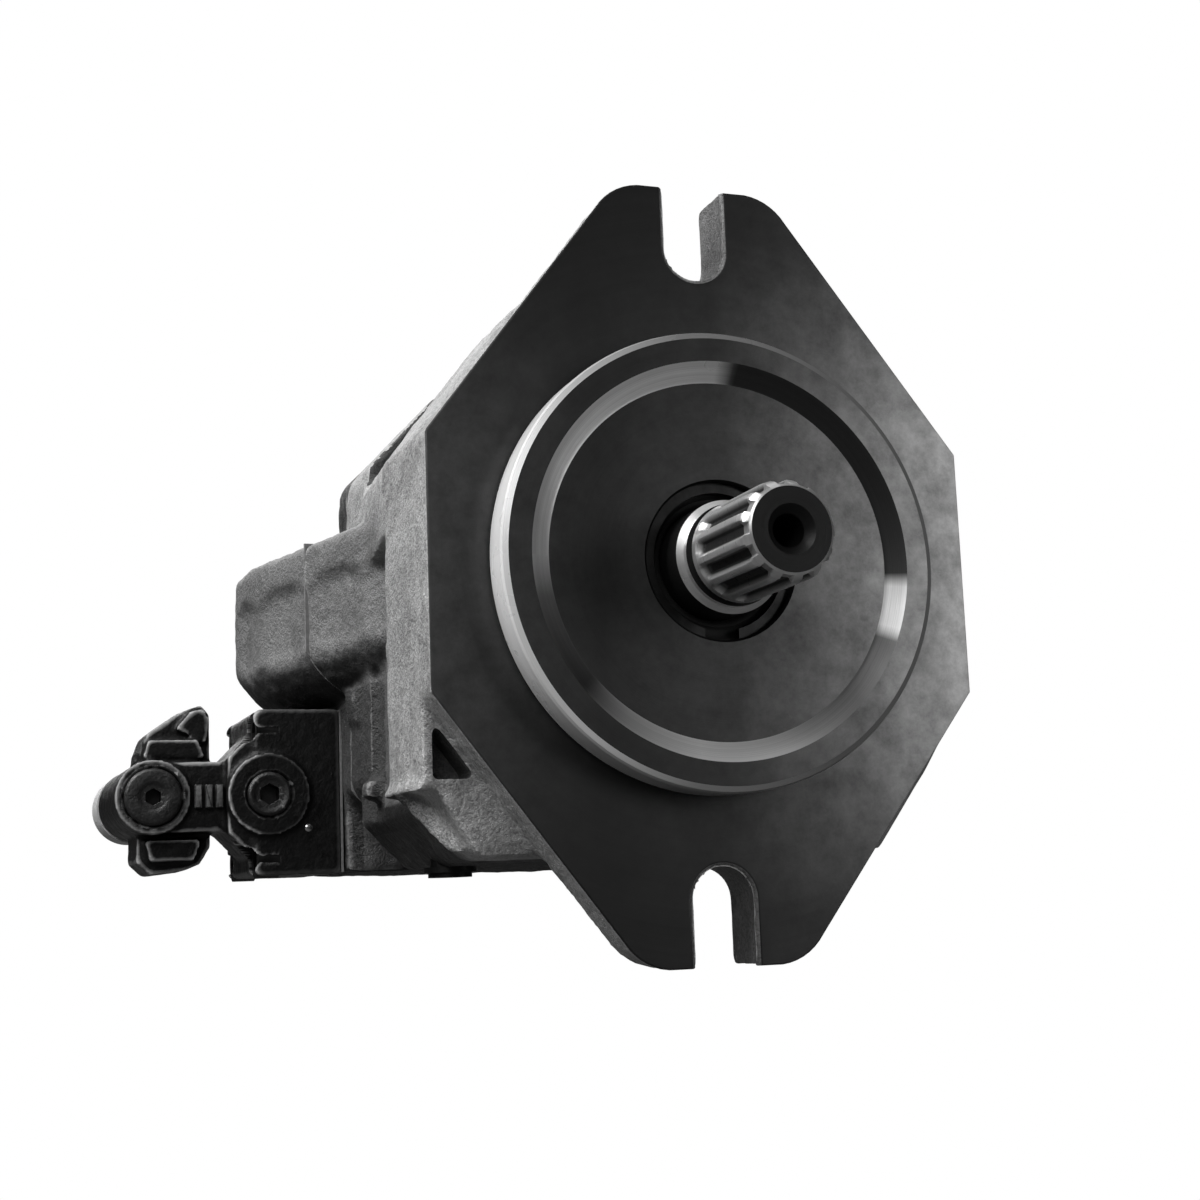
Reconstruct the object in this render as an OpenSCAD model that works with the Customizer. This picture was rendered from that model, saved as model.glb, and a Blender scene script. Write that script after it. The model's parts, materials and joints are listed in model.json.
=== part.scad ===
// Variable swash-plate axial-piston hydraulic motor with a two-bolt mounting flange,
// a splined shaft, rear ports and a two-spool control valve. Millimetres.
// The shaft turns about Y and points to -Y. The two ports lie side by side along X in the rear face.
// +Z is up.
// The origin is on the shaft axis in the mounting face of the flange.

/* [Mounting flange] */
// Diameter of the locating pilot
pilot_d = 101.6; // [90:0.1:104]
// Height of the pilot in front of the mounting face
pilot_h = 9.65; // [7:0.05:11]
// Distance between the two mounting bolts
bolt_spacing = 146; // [142:0.5:150]
// Width of the bolt slots
slot_w = 14.3; // [12:0.1:16]
// Thickness of the flange plate
flange_t = 13; // [11:0.5:15]
// Half width of the flange at its side flats
flange_half_w = 64; // [62.5:0.5:66]
// Half height of the flange at its two tips
flange_half_h = 87.5; // [86:0.5:90]

/* [Drive shaft] */
// Distance from the mounting face to the shaft end
shaft_out = 43; // [38:0.5:50]
// Outside diameter of the splined end
spline_d = 21.8; // [20:0.1:23]
// Number of spline teeth
spline_teeth = 13; // [11:1:15]
// Diameter of the seal and front bearing journal
journal_d = 25; // [24:0.5:25.5]

/* [Rotating group] */
// Number of pistons is nine; radius of the circle of their bores
bore_circle_r = 30; // [29.5:0.1:30.5]
// Diameter of a piston
piston_d = 16; // [14:0.5:16.4]
// Radial room of a piston in its bore, where the linkage is opened
piston_room = 0.6; // [0.56:0.01:0.7]
// Radius of the circle of the slippers on the retaining plate
slipper_circle_r = 30.5; // [30.4:0.05:30.55]
// Distance from the mounting face to the tilt axis of the swash plate
tilt_y = 46; // [46:0.1:46.4]

/* [Case] */
// Length of the front case from the mounting face
case_l = 118; // [118:0.5:119]
// Length of the port block
port_l = 68; // [66:1:80]
// Half width of the rear joint face
rear_half_w = 55; // [54:0.5:56]
// Half height of the case, top and bottom
case_half_h = 62.5; // [62:0.5:64]

/* [Ports] */
// Distance from the shaft axis to the outer faces of the cast wings round the two ports
wing_x = 76; // [74:0.5:78]
// Drilled diameter of the two threaded ports in the rear face
port_d = 25; // [22:0.5:26]

/* [Control valve] */
// Diameter of the two valve spools
spool_d = 8; // [7:0.5:8.5]

/* [Hidden] */
$fn = 64;
slide_gap = 0.03;                          // running gap round a sliding or turning piece
fit_gap = 0.02;                            // gap between neighbouring pieces that only touch
piston_n = 9;
step_a = 360 / piston_n;
pilot_r = pilot_d / 2;
bolt_z = bolt_spacing / 2;
slot_r = slot_w / 2;
slot_edge = 0.8;                           // bevel round the mouth of each slot
mouth_r = slot_r + slot_edge + 1;
flat_half_h = 28;                          // half height of the side flats
recess_d = 2.4;
recess_r = 43.7;
recess_floor_r = 40.5;
recess_y = recess_d - pilot_h;
journal_r = journal_d / 2;
spline_r = spline_d / 2;
seal_r = 17.5;
seal_y1 = 4;
seal_ring_y0 = -5.6;
cup_y0 = 7;
cup_y1 = 22;
cup_r = 26;
cavity_r = 45.5;
cavity_y0 = 18;
swash_box = [52, 58, 60];                  // half width, half height and rear end of the swash space
cradle_half_z = 26;                        // half height of the side pockets that hold the cradle
arm_half_x = 13;                           // half width of the slots for the setting arms
pocket_pts = [[60.8, -33.4], [60.8, -44], [52.7, -44]];
pocket_d = 9;
drain_x = 30;                              // case drain port on top
drain_y = 78;
drain_top_z = 58;
drain_r = 8.7;
drain_l = 17;
plug_x = -38;                              // drain plug below
plug_y = 84;
plug_r = 5;
cradle_r = 22;
shell_t = 2;
seat_half = 15;                            // half height of the cradle seats
seat_top_y = 25.4;
shell_half = 12.2;
cradle_x = [33, 48];
face_y = tilt_y - 8;                       // running face of the swash plate
swash_t = 6;
swash_r = 41.5;
swash_hole_r = 18;
arm_z = 50;                                // distance of the setting pistons from the shaft axis
arm_top_y = tilt_y - 5;
rod_tip_r = 5 - fit_gap;
control_r = 7.5;
bias_r = 4;
ball_r = 6.2;
socket_r = ball_r + 0.08;
slipper_foot_r = 10.1;
slipper_neck_r = 8.2;
piston_r = piston_d / 2;
block_r = 42;
block_y0 = tilt_y + 16;
block_y1 = case_l - 4;
block_gap = 0.03;
bore_bottom_y = block_y1 - 9;
piston_len = 41;
kidney_r = [25, 33];
hub_r = 18;
shaft_r = 11.5;
drive_r = 10.8;
spring_space_r = 17.5;
spring_y0 = block_y0 + 20;
spring_y1 = block_y1 - 6;
pin_circle_r = 14.8;
pin_r = 1.8;
rear_y0 = case_l + 4;
rear_y1 = rear_y0 + 16;
rear_journal_r = 9;
shaft_end_y = rear_y1 + 2;
gasket_t = 0.5;
port_y0 = case_l + gasket_t;
port_y1 = port_y0 + port_l;
port_x = 42;                               // position of the rear port axes
port_z = 4.5;
port_depth = 32.5;
wing_z = [-16, 25.5];                      // lower and upper face of the wings
wing_under_z = -4;                         // where the slanted underside starts
wing_start = [54, 66];
wing_turn = [73, 143];
wing_a = atan2(wing_turn[0] - wing_start[0], wing_turn[1] - wing_start[1]);
cover_r = 18;
cover_screw_x = 12;
port_r = port_d / 2;
tie_x = 38;
tie_z = 45;
tie_seat_y = [port_y1, 130];                // where the lower and the upper bolt heads sit
tie_r = 6;
tie_head_r = 8.5;
valve_x = rear_half_w + gasket_t;          // mounting plane of the valve
spool_r = spool_d / 2;
spool_gap = 0.03;
valve_y0 = 130;
valve_y1 = 178;
spool_z = -40.8;
spool_x = [-75, -105];
spool_front = [128.5, 133];                // front ends of the two spool bores
spool_rear = [valve_y1, valve_y1 + 2];
plug_bore_r = [5.9, 7.6];
plug_l = 8;
cap_l = 15;
chamber_r = 6.6;
adjust_r = 4;
nut_h = 6.5;
screw_y = [135.5, 173];
screw_z = [-23.5, -58];
spool_start = 12;                          // from the front end of the bore to the spool
spool_len = 26;
seat_t = 3;

// ---------- construction helpers ----------

// Cylinder along Y from a to b
module ycyl(r, a, b, x = 0, z = 0) {
    translate([x, b, z]) rotate([90, 0, 0]) cylinder(r = r, h = b - a);
}

// Cylinder along X from a to b
module xcyl(r, a, b, y = 0, z = 0) {
    translate([a, y, z]) rotate([0, 90, 0]) cylinder(r = r, h = b - a);
}

// Drawing in X and Z, extruded along Y from a to b
module yext(a, b) {
    translate([0, b, 0]) rotate([90, 0, 0]) linear_extrude(b - a) children();
}

// Box given by its two corners
module box(a, b) {
    translate(a) cube(b - a);
}

// Profile of radius and Y, turned about the Y axis
module yturn(x = 0, z = 0) {
    translate([x, 0, z]) rotate([-90, 0, 0]) rotate_extrude() children();
}

// Corner points of an arc about c
function arc(c, r, a0, a1, n = 6) =
    [for (i = [0:n]) c + r * [cos(a0 + (a1 - a0) * i / n), sin(a0 + (a1 - a0) * i / n)]];

// Rectangle outline with rounded corners
function round_box(w, h, r, n = 6) = concat(
    arc([w - r, h - r], r, 0, 90, n), arc([r - w, h - r], r, 90, 180, n),
    arc([r - w, r - h], r, 180, 270, n), arc([w - r, r - h], r, 270, 360, n));

// Closed coil spring along Y; the section is a hexagon
module coil(r, wire, a, b, turns, x = 0, z = 0) {
    steps = 12;
    n = steps * turns;
    pitch = (b - a - 2 * wire) / turns;
    pts = [for (i = [0:n]) for (k = [0:5])
        let (t = 360 * i / steps, q = r + wire * cos(60 * k))
        [x + q * cos(t), a + wire + pitch * i / steps + wire * sin(60 * k), z + q * sin(t)]];
    sides = [for (i = [0:n - 1]) for (k = [0:5])
        [6 * i + k, 6 * i + (k + 1) % 6, 6 * i + 6 + (k + 1) % 6, 6 * i + 6 + k]];
    ends = [[5, 4, 3, 2, 1, 0], [for (k = [0:5]) 6 * n + k]];
    polyhedron(points = pts, faces = concat(sides, ends), convexity = 10);
}

// Straight-sided spline section, teeth on the radius tip_r and floors on root_r
function spline_pts(teeth, tip_r, root_r, top = 0.24, foot = 0.62) = [
    for (i = [0:teeth - 1]) let (p = 360 / teeth, a = i * p)
        each [root_r * [cos(a - p * foot / 2), sin(a - p * foot / 2)],
              tip_r * [cos(a - p * top / 2), sin(a - p * top / 2)],
              tip_r * [cos(a + p * top / 2), sin(a + p * top / 2)],
              root_r * [cos(a + p * foot / 2), sin(a + p * foot / 2)]]];

// Hexagon across flats
module hex(af) { circle(r = af / sqrt(3), $fn = 6); }

// Place a child at piston number i, on a circle of the given radius
module at_bore(i, r) {
    translate([r * sin(step_a * i), 0, r * cos(step_a * i)]) children();
}

// ---------- case ----------

function flange_pts() = concat(
    [[flange_half_w, -flat_half_h], [flange_half_w, flat_half_h]],
    arc([12, flange_half_h - 13.5], 13.5, 33, 85, 5),
    arc([-12, flange_half_h - 13.5], 13.5, 95, 147, 5),
    [[-flange_half_w, flat_half_h], [-flange_half_w, -flat_half_h]],
    arc([-12, 13.5 - flange_half_h], 13.5, 213, 265, 5),
    arc([12, 13.5 - flange_half_h], 13.5, 275, 327, 5));

// Outline of the swash case behind the flange
function front_pts() = [
    [63, -45], [61, -46.5], [51, -case_half_h], [-51, -case_half_h], [-61, -46.5], [-63, -45],
    [-63, 30], [-38, case_half_h], [38, case_half_h], [63, 30]];

// Outline of the barrel of the case
function barrel_pts() = concat(arc([0, 0], 58, 24, 156, 12),
    [[-53, -50], [-41, -case_half_h], [41, -case_half_h], [53, -50]]);

// Cast wing that grows out of the case and widens to the rear round a port
module wing(s) mirror([s < 0 ? 1 : 0, 0, 0]) difference() {
    translate([0, 0, wing_z[0]]) linear_extrude(wing_z[1] - wing_z[0])
        polygon([[44, 58], [50, 58], wing_start, wing_turn, [wing_x, 158], [wing_x, port_y1 - 9],
            [wing_x - 7, port_y1], [44, port_y1]]);
    // slanted underside, along the ramp and along the outer face
    for (p = [[wing_start, -wing_a], [[wing_x, 158], 0]])
        translate([p[0][0], p[0][1], wing_under_z]) rotate([0, 0, p[1]]) rotate([0, 45, 0])
            translate([0, -150, -60]) cube([60, 300, 120]);
}

// The part of both wings between two places along Y
module wings(a, b) intersection() {
    union() {
        wing(1);
        wing(-1);
    }
    box([-100, a, -50], [100, b, 50]);
}

module rear_outline() {
    w = rear_half_w;
    h = case_half_h;
    polygon([[w, -41], [w, 41], [35, h], [-35, h], [-w, 41], [-w, -41], [-35, -h], [35, -h]]);
}

module slot(s) {
    translate([0, -1, s * bolt_z]) {
        ycyl(slot_r, 0, flange_t + 2);
        box([-slot_r, 0, min(0, s * 20)], [slot_r, flange_t + 2, max(0, s * 20)]);
        // bevelled mouth
        translate([0, 1, 0]) yturn()
            polygon([[0, -1], [mouth_r, -1], [slot_r, slot_edge], [0, slot_edge]]);
        translate([0, 1, min(0, s * 20)]) linear_extrude(20)
            polygon([[-mouth_r, -1], [mouth_r, -1], [slot_r, slot_edge], [-slot_r, slot_edge]]);
    }
}

module housing() color([0.62, 0.62, 0.61]) difference() {
    union() {
        yext(0, flange_t) polygon(flange_pts());
        ycyl(pilot_r, -pilot_h, 1);
        yext(flange_t - 1, 44) polygon(front_pts());
        yext(43, case_l) polygon(barrel_pts());
        yext(94, case_l) rear_outline();
        wings(50, case_l);
        // shoulders that run back from the front block above the wings
        translate([0, 0, wing_under_z + 17.5]) linear_extrude(19.5)
            polygon([[-63, 43], [63, 43], [56, 95], [-56, 95]]);
        // guide ridge of the upper setting piston
        box([-13, 40, 50], [13, case_l - 2, case_half_h]);
        // drain port boss on top
        translate([drain_x, drain_y, 30]) cylinder(r = 12, h = drain_top_z - 30);
    }
    slot(1);
    slot(-1);
    // recess and seal bore
    yturn() polygon([[0, -pilot_h - 1], [recess_r + 1.33, -pilot_h - 1], [recess_r, -pilot_h],
        [recess_floor_r, recess_y], [0, recess_y]]);
    ycyl(seal_r, recess_y - 1, seal_y1);
    ycyl(15, seal_y1 - 1, cup_y0 + 1);
    ycyl(cup_r, cup_y0, cavity_y0 + 8);
    // groove of the seal's retaining ring
    ycyl(seal_r + 1.2, seal_ring_y0, seal_ring_y0 + 1.6);
    // space of the swash plate, with the bearing seat left standing
    difference() {
        union() {
            ycyl(cavity_r, cavity_y0, swash_box[2]);
            box([-swash_box[0], cavity_y0, -cradle_half_z], [swash_box[0], swash_box[2], cradle_half_z]);
            box([-arm_half_x, cavity_y0, -swash_box[1]], [arm_half_x, swash_box[2], swash_box[1]]);
        }
        ycyl(30, cavity_y0 - 1, cup_y1);
        for (s = [-1, 1]) difference() {
            box([s > 0 ? 32 : -52, cavity_y0 - 1, -seat_half], [s > 0 ? 52 : -32, seat_top_y, seat_half]);
            xcyl(cradle_r + shell_t, -53, 53, tilt_y, 0);
        }
    }
    ycyl(cavity_r, swash_box[2] - 1, case_l + 1);
    for (s = [-1, 1]) ycyl(9, swash_box[2] - 1, case_l + 1, 0, s * arm_z);
    // threads of the tie bolts
    for (x = [-tie_x, tie_x], z = [-tie_z, tie_z]) ycyl(tie_r, 97, case_l + 1, x, z);
    // drain port and drain plug thread
    translate([drain_x, drain_y, drain_top_z - drain_l]) cylinder(r = drain_r, h = drain_l + 6);
    translate([drain_x, drain_y, 20]) cylinder(r = 6, h = drain_top_z - drain_l - 19);
    translate([plug_x, plug_y, -case_half_h - 1]) cylinder(r = plug_r, h = 12);
    translate([plug_x, plug_y, -case_half_h + 10]) cylinder(r = 3.5, h = 30);
    // cast pockets in the front face beside the flange
    for (m = [0, 1]) mirror([m, 0, 0]) yext(flange_t - 1, flange_t + pocket_d)
        polygon(pocket_pts);
}

module case_gasket() color([0.15, 0.15, 0.16]) difference() {
    union() {
        yext(case_l, case_l + gasket_t) rear_outline();
        wings(case_l, case_l + gasket_t);
    }
    ycyl(cavity_r, case_l - 1, case_l + 2);
    for (s = [-1, 1]) ycyl(9, case_l - 1, case_l + 2, 0, s * arm_z);
    for (x = [-tie_x, tie_x], z = [-tie_z, tie_z]) ycyl(tie_r + 0.4, case_l - 1, case_l + 2, x, z);
}

module kidney(r0, r1, a, y0, y1) {
    translate([0, y0, 0]) rotate([-90, 0, 0]) rotate([0, 0, -a / 2])
        rotate_extrude(angle = a) translate([r0, 0]) square([r1 - r0, y1 - y0]);
}

module port_block() color([0.60, 0.60, 0.59]) difference() {
    union() {
        // joint flange, the full lower body, and a narrower upper body that leaves room for bolt heads
        yext(port_y0, tie_seat_y[1]) rear_outline();
        yext(port_y0, port_y1) polygon([[rear_half_w, -41], [rear_half_w, 10], [42, 10], [42, 30],
            [34, 36], [28.5, 42], [28.5, case_half_h], [-28.5, case_half_h], [-28.5, 42], [-34, 36],
            [-42, 30], [-42, 10], [-rear_half_w, 10], [-rear_half_w, -41], [-35, -case_half_h],
            [35, -case_half_h]]);
        wings(port_y0, port_y1);
        // flat pad that carries the control valve
        box([-rear_half_w, 127, -case_half_h], [-30, 181, -15.5]);
    }
    // main passages: a kidney behind the valve plate leads to the threaded port in the rear face
    for (s = [0, 180]) rotate([0, s, 0]) kidney(kidney_r[0], kidney_r[1], 100, port_y0 - 1, 153);
    for (x = [-1, 1]) {
        ycyl(9, 138, 151.5, x * 36, port_z);
        ycyl(9, 144, 156, x * 39, port_z);
        ycyl(port_r, port_y1 - port_depth, port_y1 + 1, x * port_x, port_z);
        ycyl(20, port_y1 - 0.5, port_y1 + 1, x * port_x, port_z);
    }
    // rear bearing
    ycyl(16, port_y0 - 1, rear_y1);
    ycyl(13, port_y0 - 1, rear_y1 + 5);
    // setting piston bores
    ycyl(control_r + slide_gap, port_y0 - 1, 158, 0, -arm_z);
    ycyl(bias_r + slide_gap, port_y0 - 1, 158, 0, arm_z);
    // tie bolts
    for (x = [-tie_x, tie_x], z = [-tie_z, tie_z]) ycyl(tie_r + 0.4, port_y0 - 1, port_y1 + 1, x, z);
    // valve mounting threads and oil passages
    for (y = screw_y, z = screw_z) xcyl(3, -rear_half_w - 1, -43, y, z);
    xcyl(1.8, -rear_half_w - 1, 0, 152, -55.6);
    xcyl(2.2, -rear_half_w - 1, -42, 148, -24);
    translate([-44, 148, -24]) cylinder(r = 2.2, h = 25);
    // shallow register for the rear cover plate
    ycyl(cover_r, port_y1 - 2, port_y1 + 1);
    for (x = [-1, 1]) ycyl(2.5, port_y1 - 12, port_y1, x * cover_screw_x, 0);
}

module cover_plate() color([0.12, 0.12, 0.13]) {
    difference() {
        ycyl(cover_r - fit_gap, port_y1 - 2, port_y1 + 3);
        for (x = [-1, 1]) ycyl(2.7, port_y1 - 3, port_y1 + 4, x * cover_screw_x, 0);
    }
    for (x = [-1, 1]) difference() {
        union() {
            ycyl(2.5 - fit_gap, port_y1 - 11, port_y1 + 3.1, x * cover_screw_x, 0);
            ycyl(4.5, port_y1 + 3.02, port_y1 + 7, x * cover_screw_x, 0);
        }
        yext(port_y1 + 4.5, port_y1 + 8) translate([x * cover_screw_x, 0]) hex(4);
    }
}

module tie_bolts() color([0.20, 0.20, 0.21]) {
    for (x = [-tie_x, tie_x], k = [0, 1]) difference() {
        z = k == 0 ? -tie_z : tie_z;
        y = tie_seat_y[k];
        union() {
            ycyl(tie_r - fit_gap, 99, y + 0.05, x, z);
            ycyl(tie_head_r, y + 0.02, y + 12, x, z);
        }
        yext(y + 6, y + 13) translate([x, z]) hex(10);
    }
}

module valve_plate() color([0.75, 0.72, 0.62]) difference() {
    ycyl(block_r - 1, block_y1, case_l + gasket_t);
    ycyl(14, block_y1 - 1, case_l + 2);
    for (s = [0, 180]) rotate([0, s, 0])
        kidney(kidney_r[0] + 1, kidney_r[1] - 1, 96, block_y1 - 1, case_l + 2);
}

// ---------- seal and bearings ----------

module shaft_seal() color([0.05, 0.05, 0.05]) yturn() polygon([
    [seal_r, -3.9], [seal_r, seal_y1], [15.4, seal_y1], [15.4, -1.5], [journal_r + slide_gap, -0.6],
    [journal_r + slide_gap, -2.2], [13.6, -3.4], [14.6, -3.9]]);

module seal_ring() color([0.10, 0.10, 0.10]) difference() {
    ycyl(seal_r + 1.1, seal_ring_y0 + 0.03, seal_ring_y0 + 1.57);
    ycyl(seal_r - 2.2, seal_ring_y0 - 1, seal_ring_y0 + 3);
    box([-4, seal_ring_y0 - 1, -25], [4, seal_ring_y0 + 3, 0]);
}

module front_bearing_cup() color([0.72, 0.72, 0.74]) yturn() polygon([
    [cup_r, cup_y0], [cup_r, cup_y1], [21.6, cup_y1], [19.6, cup_y0]]);

module front_bearing_cone() color([0.72, 0.72, 0.74]) yturn() polygon([
    [journal_r, cup_y0 + 0.5], [16.3, cup_y0 + 0.5], [17.2, cup_y1 - 1.5], [19.4, cup_y1 - 1.3],
    [19.4, cup_y1 + 1], [journal_r, cup_y1 + 1]]);

module front_bearing_rollers() color([0.66, 0.66, 0.68]) {
    for (i = [0:13]) rotate([0, i * 360 / 14, 0]) translate([18.2, cup_y0 + 2.6, 0])
        rotate([-90, 0, 0]) rotate([0, 6, 0]) cylinder(r1 = 1.55, r2 = 1.85, h = 10);
    yturn() polygon([[18.0, cup_y0 + 2.0], [19.2, cup_y0 + 2.0], [19.2, cup_y0 + 3.2], [18.0, cup_y0 + 3.2]]);
}

module rear_bearing_cup() color([0.72, 0.72, 0.74]) difference() {
    ycyl(16, rear_y0 + fit_gap, rear_y1 - fit_gap);
    ycyl(14, rear_y0 - 1, rear_y1 + 1);
}

module rear_bearing_rollers() color([0.66, 0.66, 0.68]) {
    for (i = [0:13]) rotate([0, i * 360 / 14, 0]) ycyl(1.1, rear_y0 + 1.2, rear_y1 - 1.2, 12.75, 0);
    difference() {
        ycyl(13.3, rear_y1 - 1.4, rear_y1 - 0.5);
        ycyl(12.2, rear_y1 - 2, rear_y1);
    }
}

module rear_bearing_cone() color([0.72, 0.72, 0.74]) difference() {
    ycyl(11.5, rear_y0 + 0.5, rear_y1 - 0.2);
    ycyl(rear_journal_r, rear_y0, rear_y1 + 1);
}

// ---------- swash plate ----------

module cradle_shells() color([0.72, 0.58, 0.36]) for (s = [-1, 1]) difference() {
    intersection() {
        xcyl(cradle_r + shell_t, s > 0 ? 33 : -47, s > 0 ? 47 : -33, tilt_y, 0);
        box([-52, tilt_y - 30, -shell_half], [52, tilt_y - 12.5, shell_half]);
    }
    xcyl(cradle_r + slide_gap, -53, 53, tilt_y, 0);
}

module swash_plate() color([0.55, 0.56, 0.58]) difference() {
    union() {
        ycyl(swash_r, face_y - swash_t, face_y);
        for (s = [-1, 1]) intersection() {
            xcyl(cradle_r, s > 0 ? cradle_x[0] : -cradle_x[1], s > 0 ? cradle_x[1] : -cradle_x[0], tilt_y, 0);
            box([-60, tilt_y - 30, -40], [60, face_y, 40]);
        }
        // arms for the two setting pistons
        for (s = [-1, 1]) box([-9, face_y - 5, min(s * 36, s * 56)], [9, arm_top_y, max(s * 36, s * 56)]);
    }
    ycyl(swash_hole_r, 0, 60);
    // the arms stay outside the slipper track
    ycyl(swash_r + 0.5, face_y, 60);
}

// ---------- rotating group ----------

module retainer_plate() color([0.60, 0.60, 0.62]) difference() {
    ycyl(block_r - 0.5, face_y + 2.9, face_y + 5.9);
    for (i = [0:piston_n - 1]) at_bore(i, slipper_circle_r)
        ycyl(slipper_neck_r + 0.12, face_y, face_y + 10);
    translate([0, tilt_y, 0]) sphere(r = hub_r + 0.05);
}

// Turned ball seat with a plain bore for the shaft
module retainer_hub() color([0.58, 0.58, 0.60]) translate([0, tilt_y, 0]) yturn() polygon(concat(
    [[shaft_r + slide_gap, 8], [shaft_r + slide_gap, -6.5]], arc([0, 0], hub_r, -21.17, 26.38, 8)));

// Foot with its balance pocket and oil hole, and the socket that holds the piston ball
module slipper(i) color([0.74, 0.60, 0.38]) at_bore(i, slipper_circle_r) translate([0, tilt_y, 0])
    yturn() polygon(concat([[0.8, -7.4], [6, -7.4], [6, fit_gap - 8], [slipper_foot_r, fit_gap - 8],
        [slipper_foot_r, -5.3], [slipper_neck_r, -5.3], [slipper_neck_r, 3], [5.85, 3]],
        arc([0, 0], socket_r, 26, -82.7, 9)));

module piston(i) color([0.68, 0.69, 0.71])
at_bore(i, slipper_circle_r) translate([0, tilt_y, 0]) difference() {
    union() {
        sphere(r = ball_r);
        ycyl(4, 3, 10);
        yturn() polygon([[0, 7.5], [4, 7.5], [piston_r, 10.5], [piston_r, 9 + piston_len],
            [0, 9 + piston_len]]);
    }
    ycyl(4.6, 20, 10 + piston_len);
    ycyl(0.8, -7, 21);
}

module cylinder_block() color([0.56, 0.57, 0.59]) difference() {
    ycyl(block_r, block_y0, block_y1 - block_gap);
    for (i = [0:piston_n - 1]) at_bore(i, bore_circle_r) {
        ycyl(piston_r + piston_room, block_y0 - 1, bore_bottom_y);
        translate([0, bore_bottom_y - 1, 0]) rotate([0, step_a * i, 0]) box([-5.5, 0, -2.6], [5.5, 12, 2.6]);
    }
    // splined bore, then the spring space
    yext(block_y0 - 1, spring_y0 + 1) circle(r = drive_r - 1.3);
    yext(block_y0 - 1, spring_y0 + 1) polygon(spline_pts(18, drive_r + 0.25, drive_r - 1.45, 0.34, 0.74));
    ycyl(spring_space_r, spring_y0, block_y1 + 1);
    ycyl(spring_space_r + 1.3, spring_y1 - 1.8, spring_y1);
    for (k = [0:2]) rotate([0, k * 120 + 20, 0])
        ycyl(pin_r + 0.1, block_y0 - 1, spring_y0 + 1, 0, pin_circle_r);
}

module hub_pins() color([0.70, 0.70, 0.72]) for (k = [0:2]) rotate([0, k * 120 + 20, 0])
    ycyl(pin_r, tilt_y + 8.02, spring_y0, 0, pin_circle_r);

module spring_washers() color([0.62, 0.62, 0.64]) {
    difference() {
        ycyl(spring_space_r - 0.3, spring_y0 + fit_gap, spring_y0 + 2);
        ycyl(shaft_r + 0.5, 0, 200);
    }
    difference() {
        ycyl(spring_space_r - 0.3, spring_y1 - 4, spring_y1 - 1.8);
        ycyl(shaft_r + 0.5, 0, 200);
    }
}

module snap_ring() color([0.20, 0.20, 0.21]) difference() {
    ycyl(spring_space_r + 1.2, spring_y1 - 1.75, spring_y1 - 0.05);
    ycyl(spring_space_r - 1.6, 0, 200);
    box([-3, 0, 0], [3, 200, 30]);
}

module block_spring() color([0.35, 0.35, 0.37])
    coil(14.6, 1.4, spring_y0 + 2.02, spring_y1 - 4.02, 4);

module drive_shaft() color([0.74, 0.75, 0.77]) difference() {
    union() {
        // output spline with a plain end band
        intersection() {
            yext(-shaft_out, -15) polygon(spline_pts(spline_teeth, spline_r, spline_r - 1.35));
            yturn() polygon([[0, -shaft_out], [spline_r - 1.6, -shaft_out],
                [spline_r + 0.1, -shaft_out + 1.6], [spline_r + 0.1, -14], [0, -14]]);
        }
        yturn() polygon([[0, -shaft_out], [spline_r - 1.6, -shaft_out],
            [spline_r - 1.35, -shaft_out + 0.4], [spline_r - 1.35, -20], [spline_r, -18.4],
            [spline_r, -16.5], [spline_r - 0.9, -16.2], [spline_r - 0.9, -14.2],
            [11.2, -14], [11.2, -12.6], [journal_r, -11.8], [journal_r, cup_y1 + 1],
            [shaft_r, cup_y1 + 1.5], [shaft_r, block_y0 - 3], [drive_r - 1.7, block_y0 - 1],
            [drive_r - 1.7, spring_y0 + 3], [rear_journal_r, spring_y0 + 3],
            [rear_journal_r, shaft_end_y - 1], [rear_journal_r - 1, shaft_end_y],
            [0, shaft_end_y]]);
        // spline that drives the cylinder block
        yext(block_y0 - 1, spring_y0 - 1) polygon(spline_pts(18, drive_r, drive_r - 1.7, 0.22, 0.62));
    }
    // tapped centre hole
    ycyl(3.4, -shaft_out - 1, -shaft_out + 22);
    yturn() polygon([[0, -shaft_out - 1], [5.4, -shaft_out - 1], [3.4, -shaft_out + 1.6],
        [0, -shaft_out + 1.6]]);
}

// ---------- setting pistons ----------

module control_piston() color([0.66, 0.67, 0.69]) {
    translate([0, tilt_y, -arm_z]) sphere(r = rod_tip_r);
    yturn(0, -arm_z) polygon([[0, tilt_y + 2], [4, tilt_y + 2], [4, 98], [control_r, 100],
        [control_r, 142], [0, 142]]);
}

module bias_piston() color([0.66, 0.67, 0.69]) {
    translate([0, tilt_y, arm_z]) sphere(r = rod_tip_r);
    yturn(0, arm_z) polygon([[0, tilt_y + 2], [bias_r, tilt_y + 2], [bias_r, 62], [7.4, 62.5], [7.4, 66],
        [bias_r, 66], [bias_r, 142], [0, 142]]);
}

module bias_spring() color([0.35, 0.35, 0.37]) coil(6.1, 1.1, 66.05, port_y0 - 0.05, 9, 0, arm_z);

// ---------- control valve ----------

module valve_gasket() color([0.10, 0.10, 0.10]) difference() {
    box([-valve_x, valve_y0, -62], [-rear_half_w, valve_y1 - 0.5, -18]);
    for (y = screw_y, z = screw_z) xcyl(3.4, -valve_x - 1, -rear_half_w + 1, y, z);
    xcyl(1.8, -valve_x - 1, -rear_half_w + 1, 152, -55.6);
    xcyl(2.2, -valve_x - 1, -rear_half_w + 1, 148, -24);
}

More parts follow.
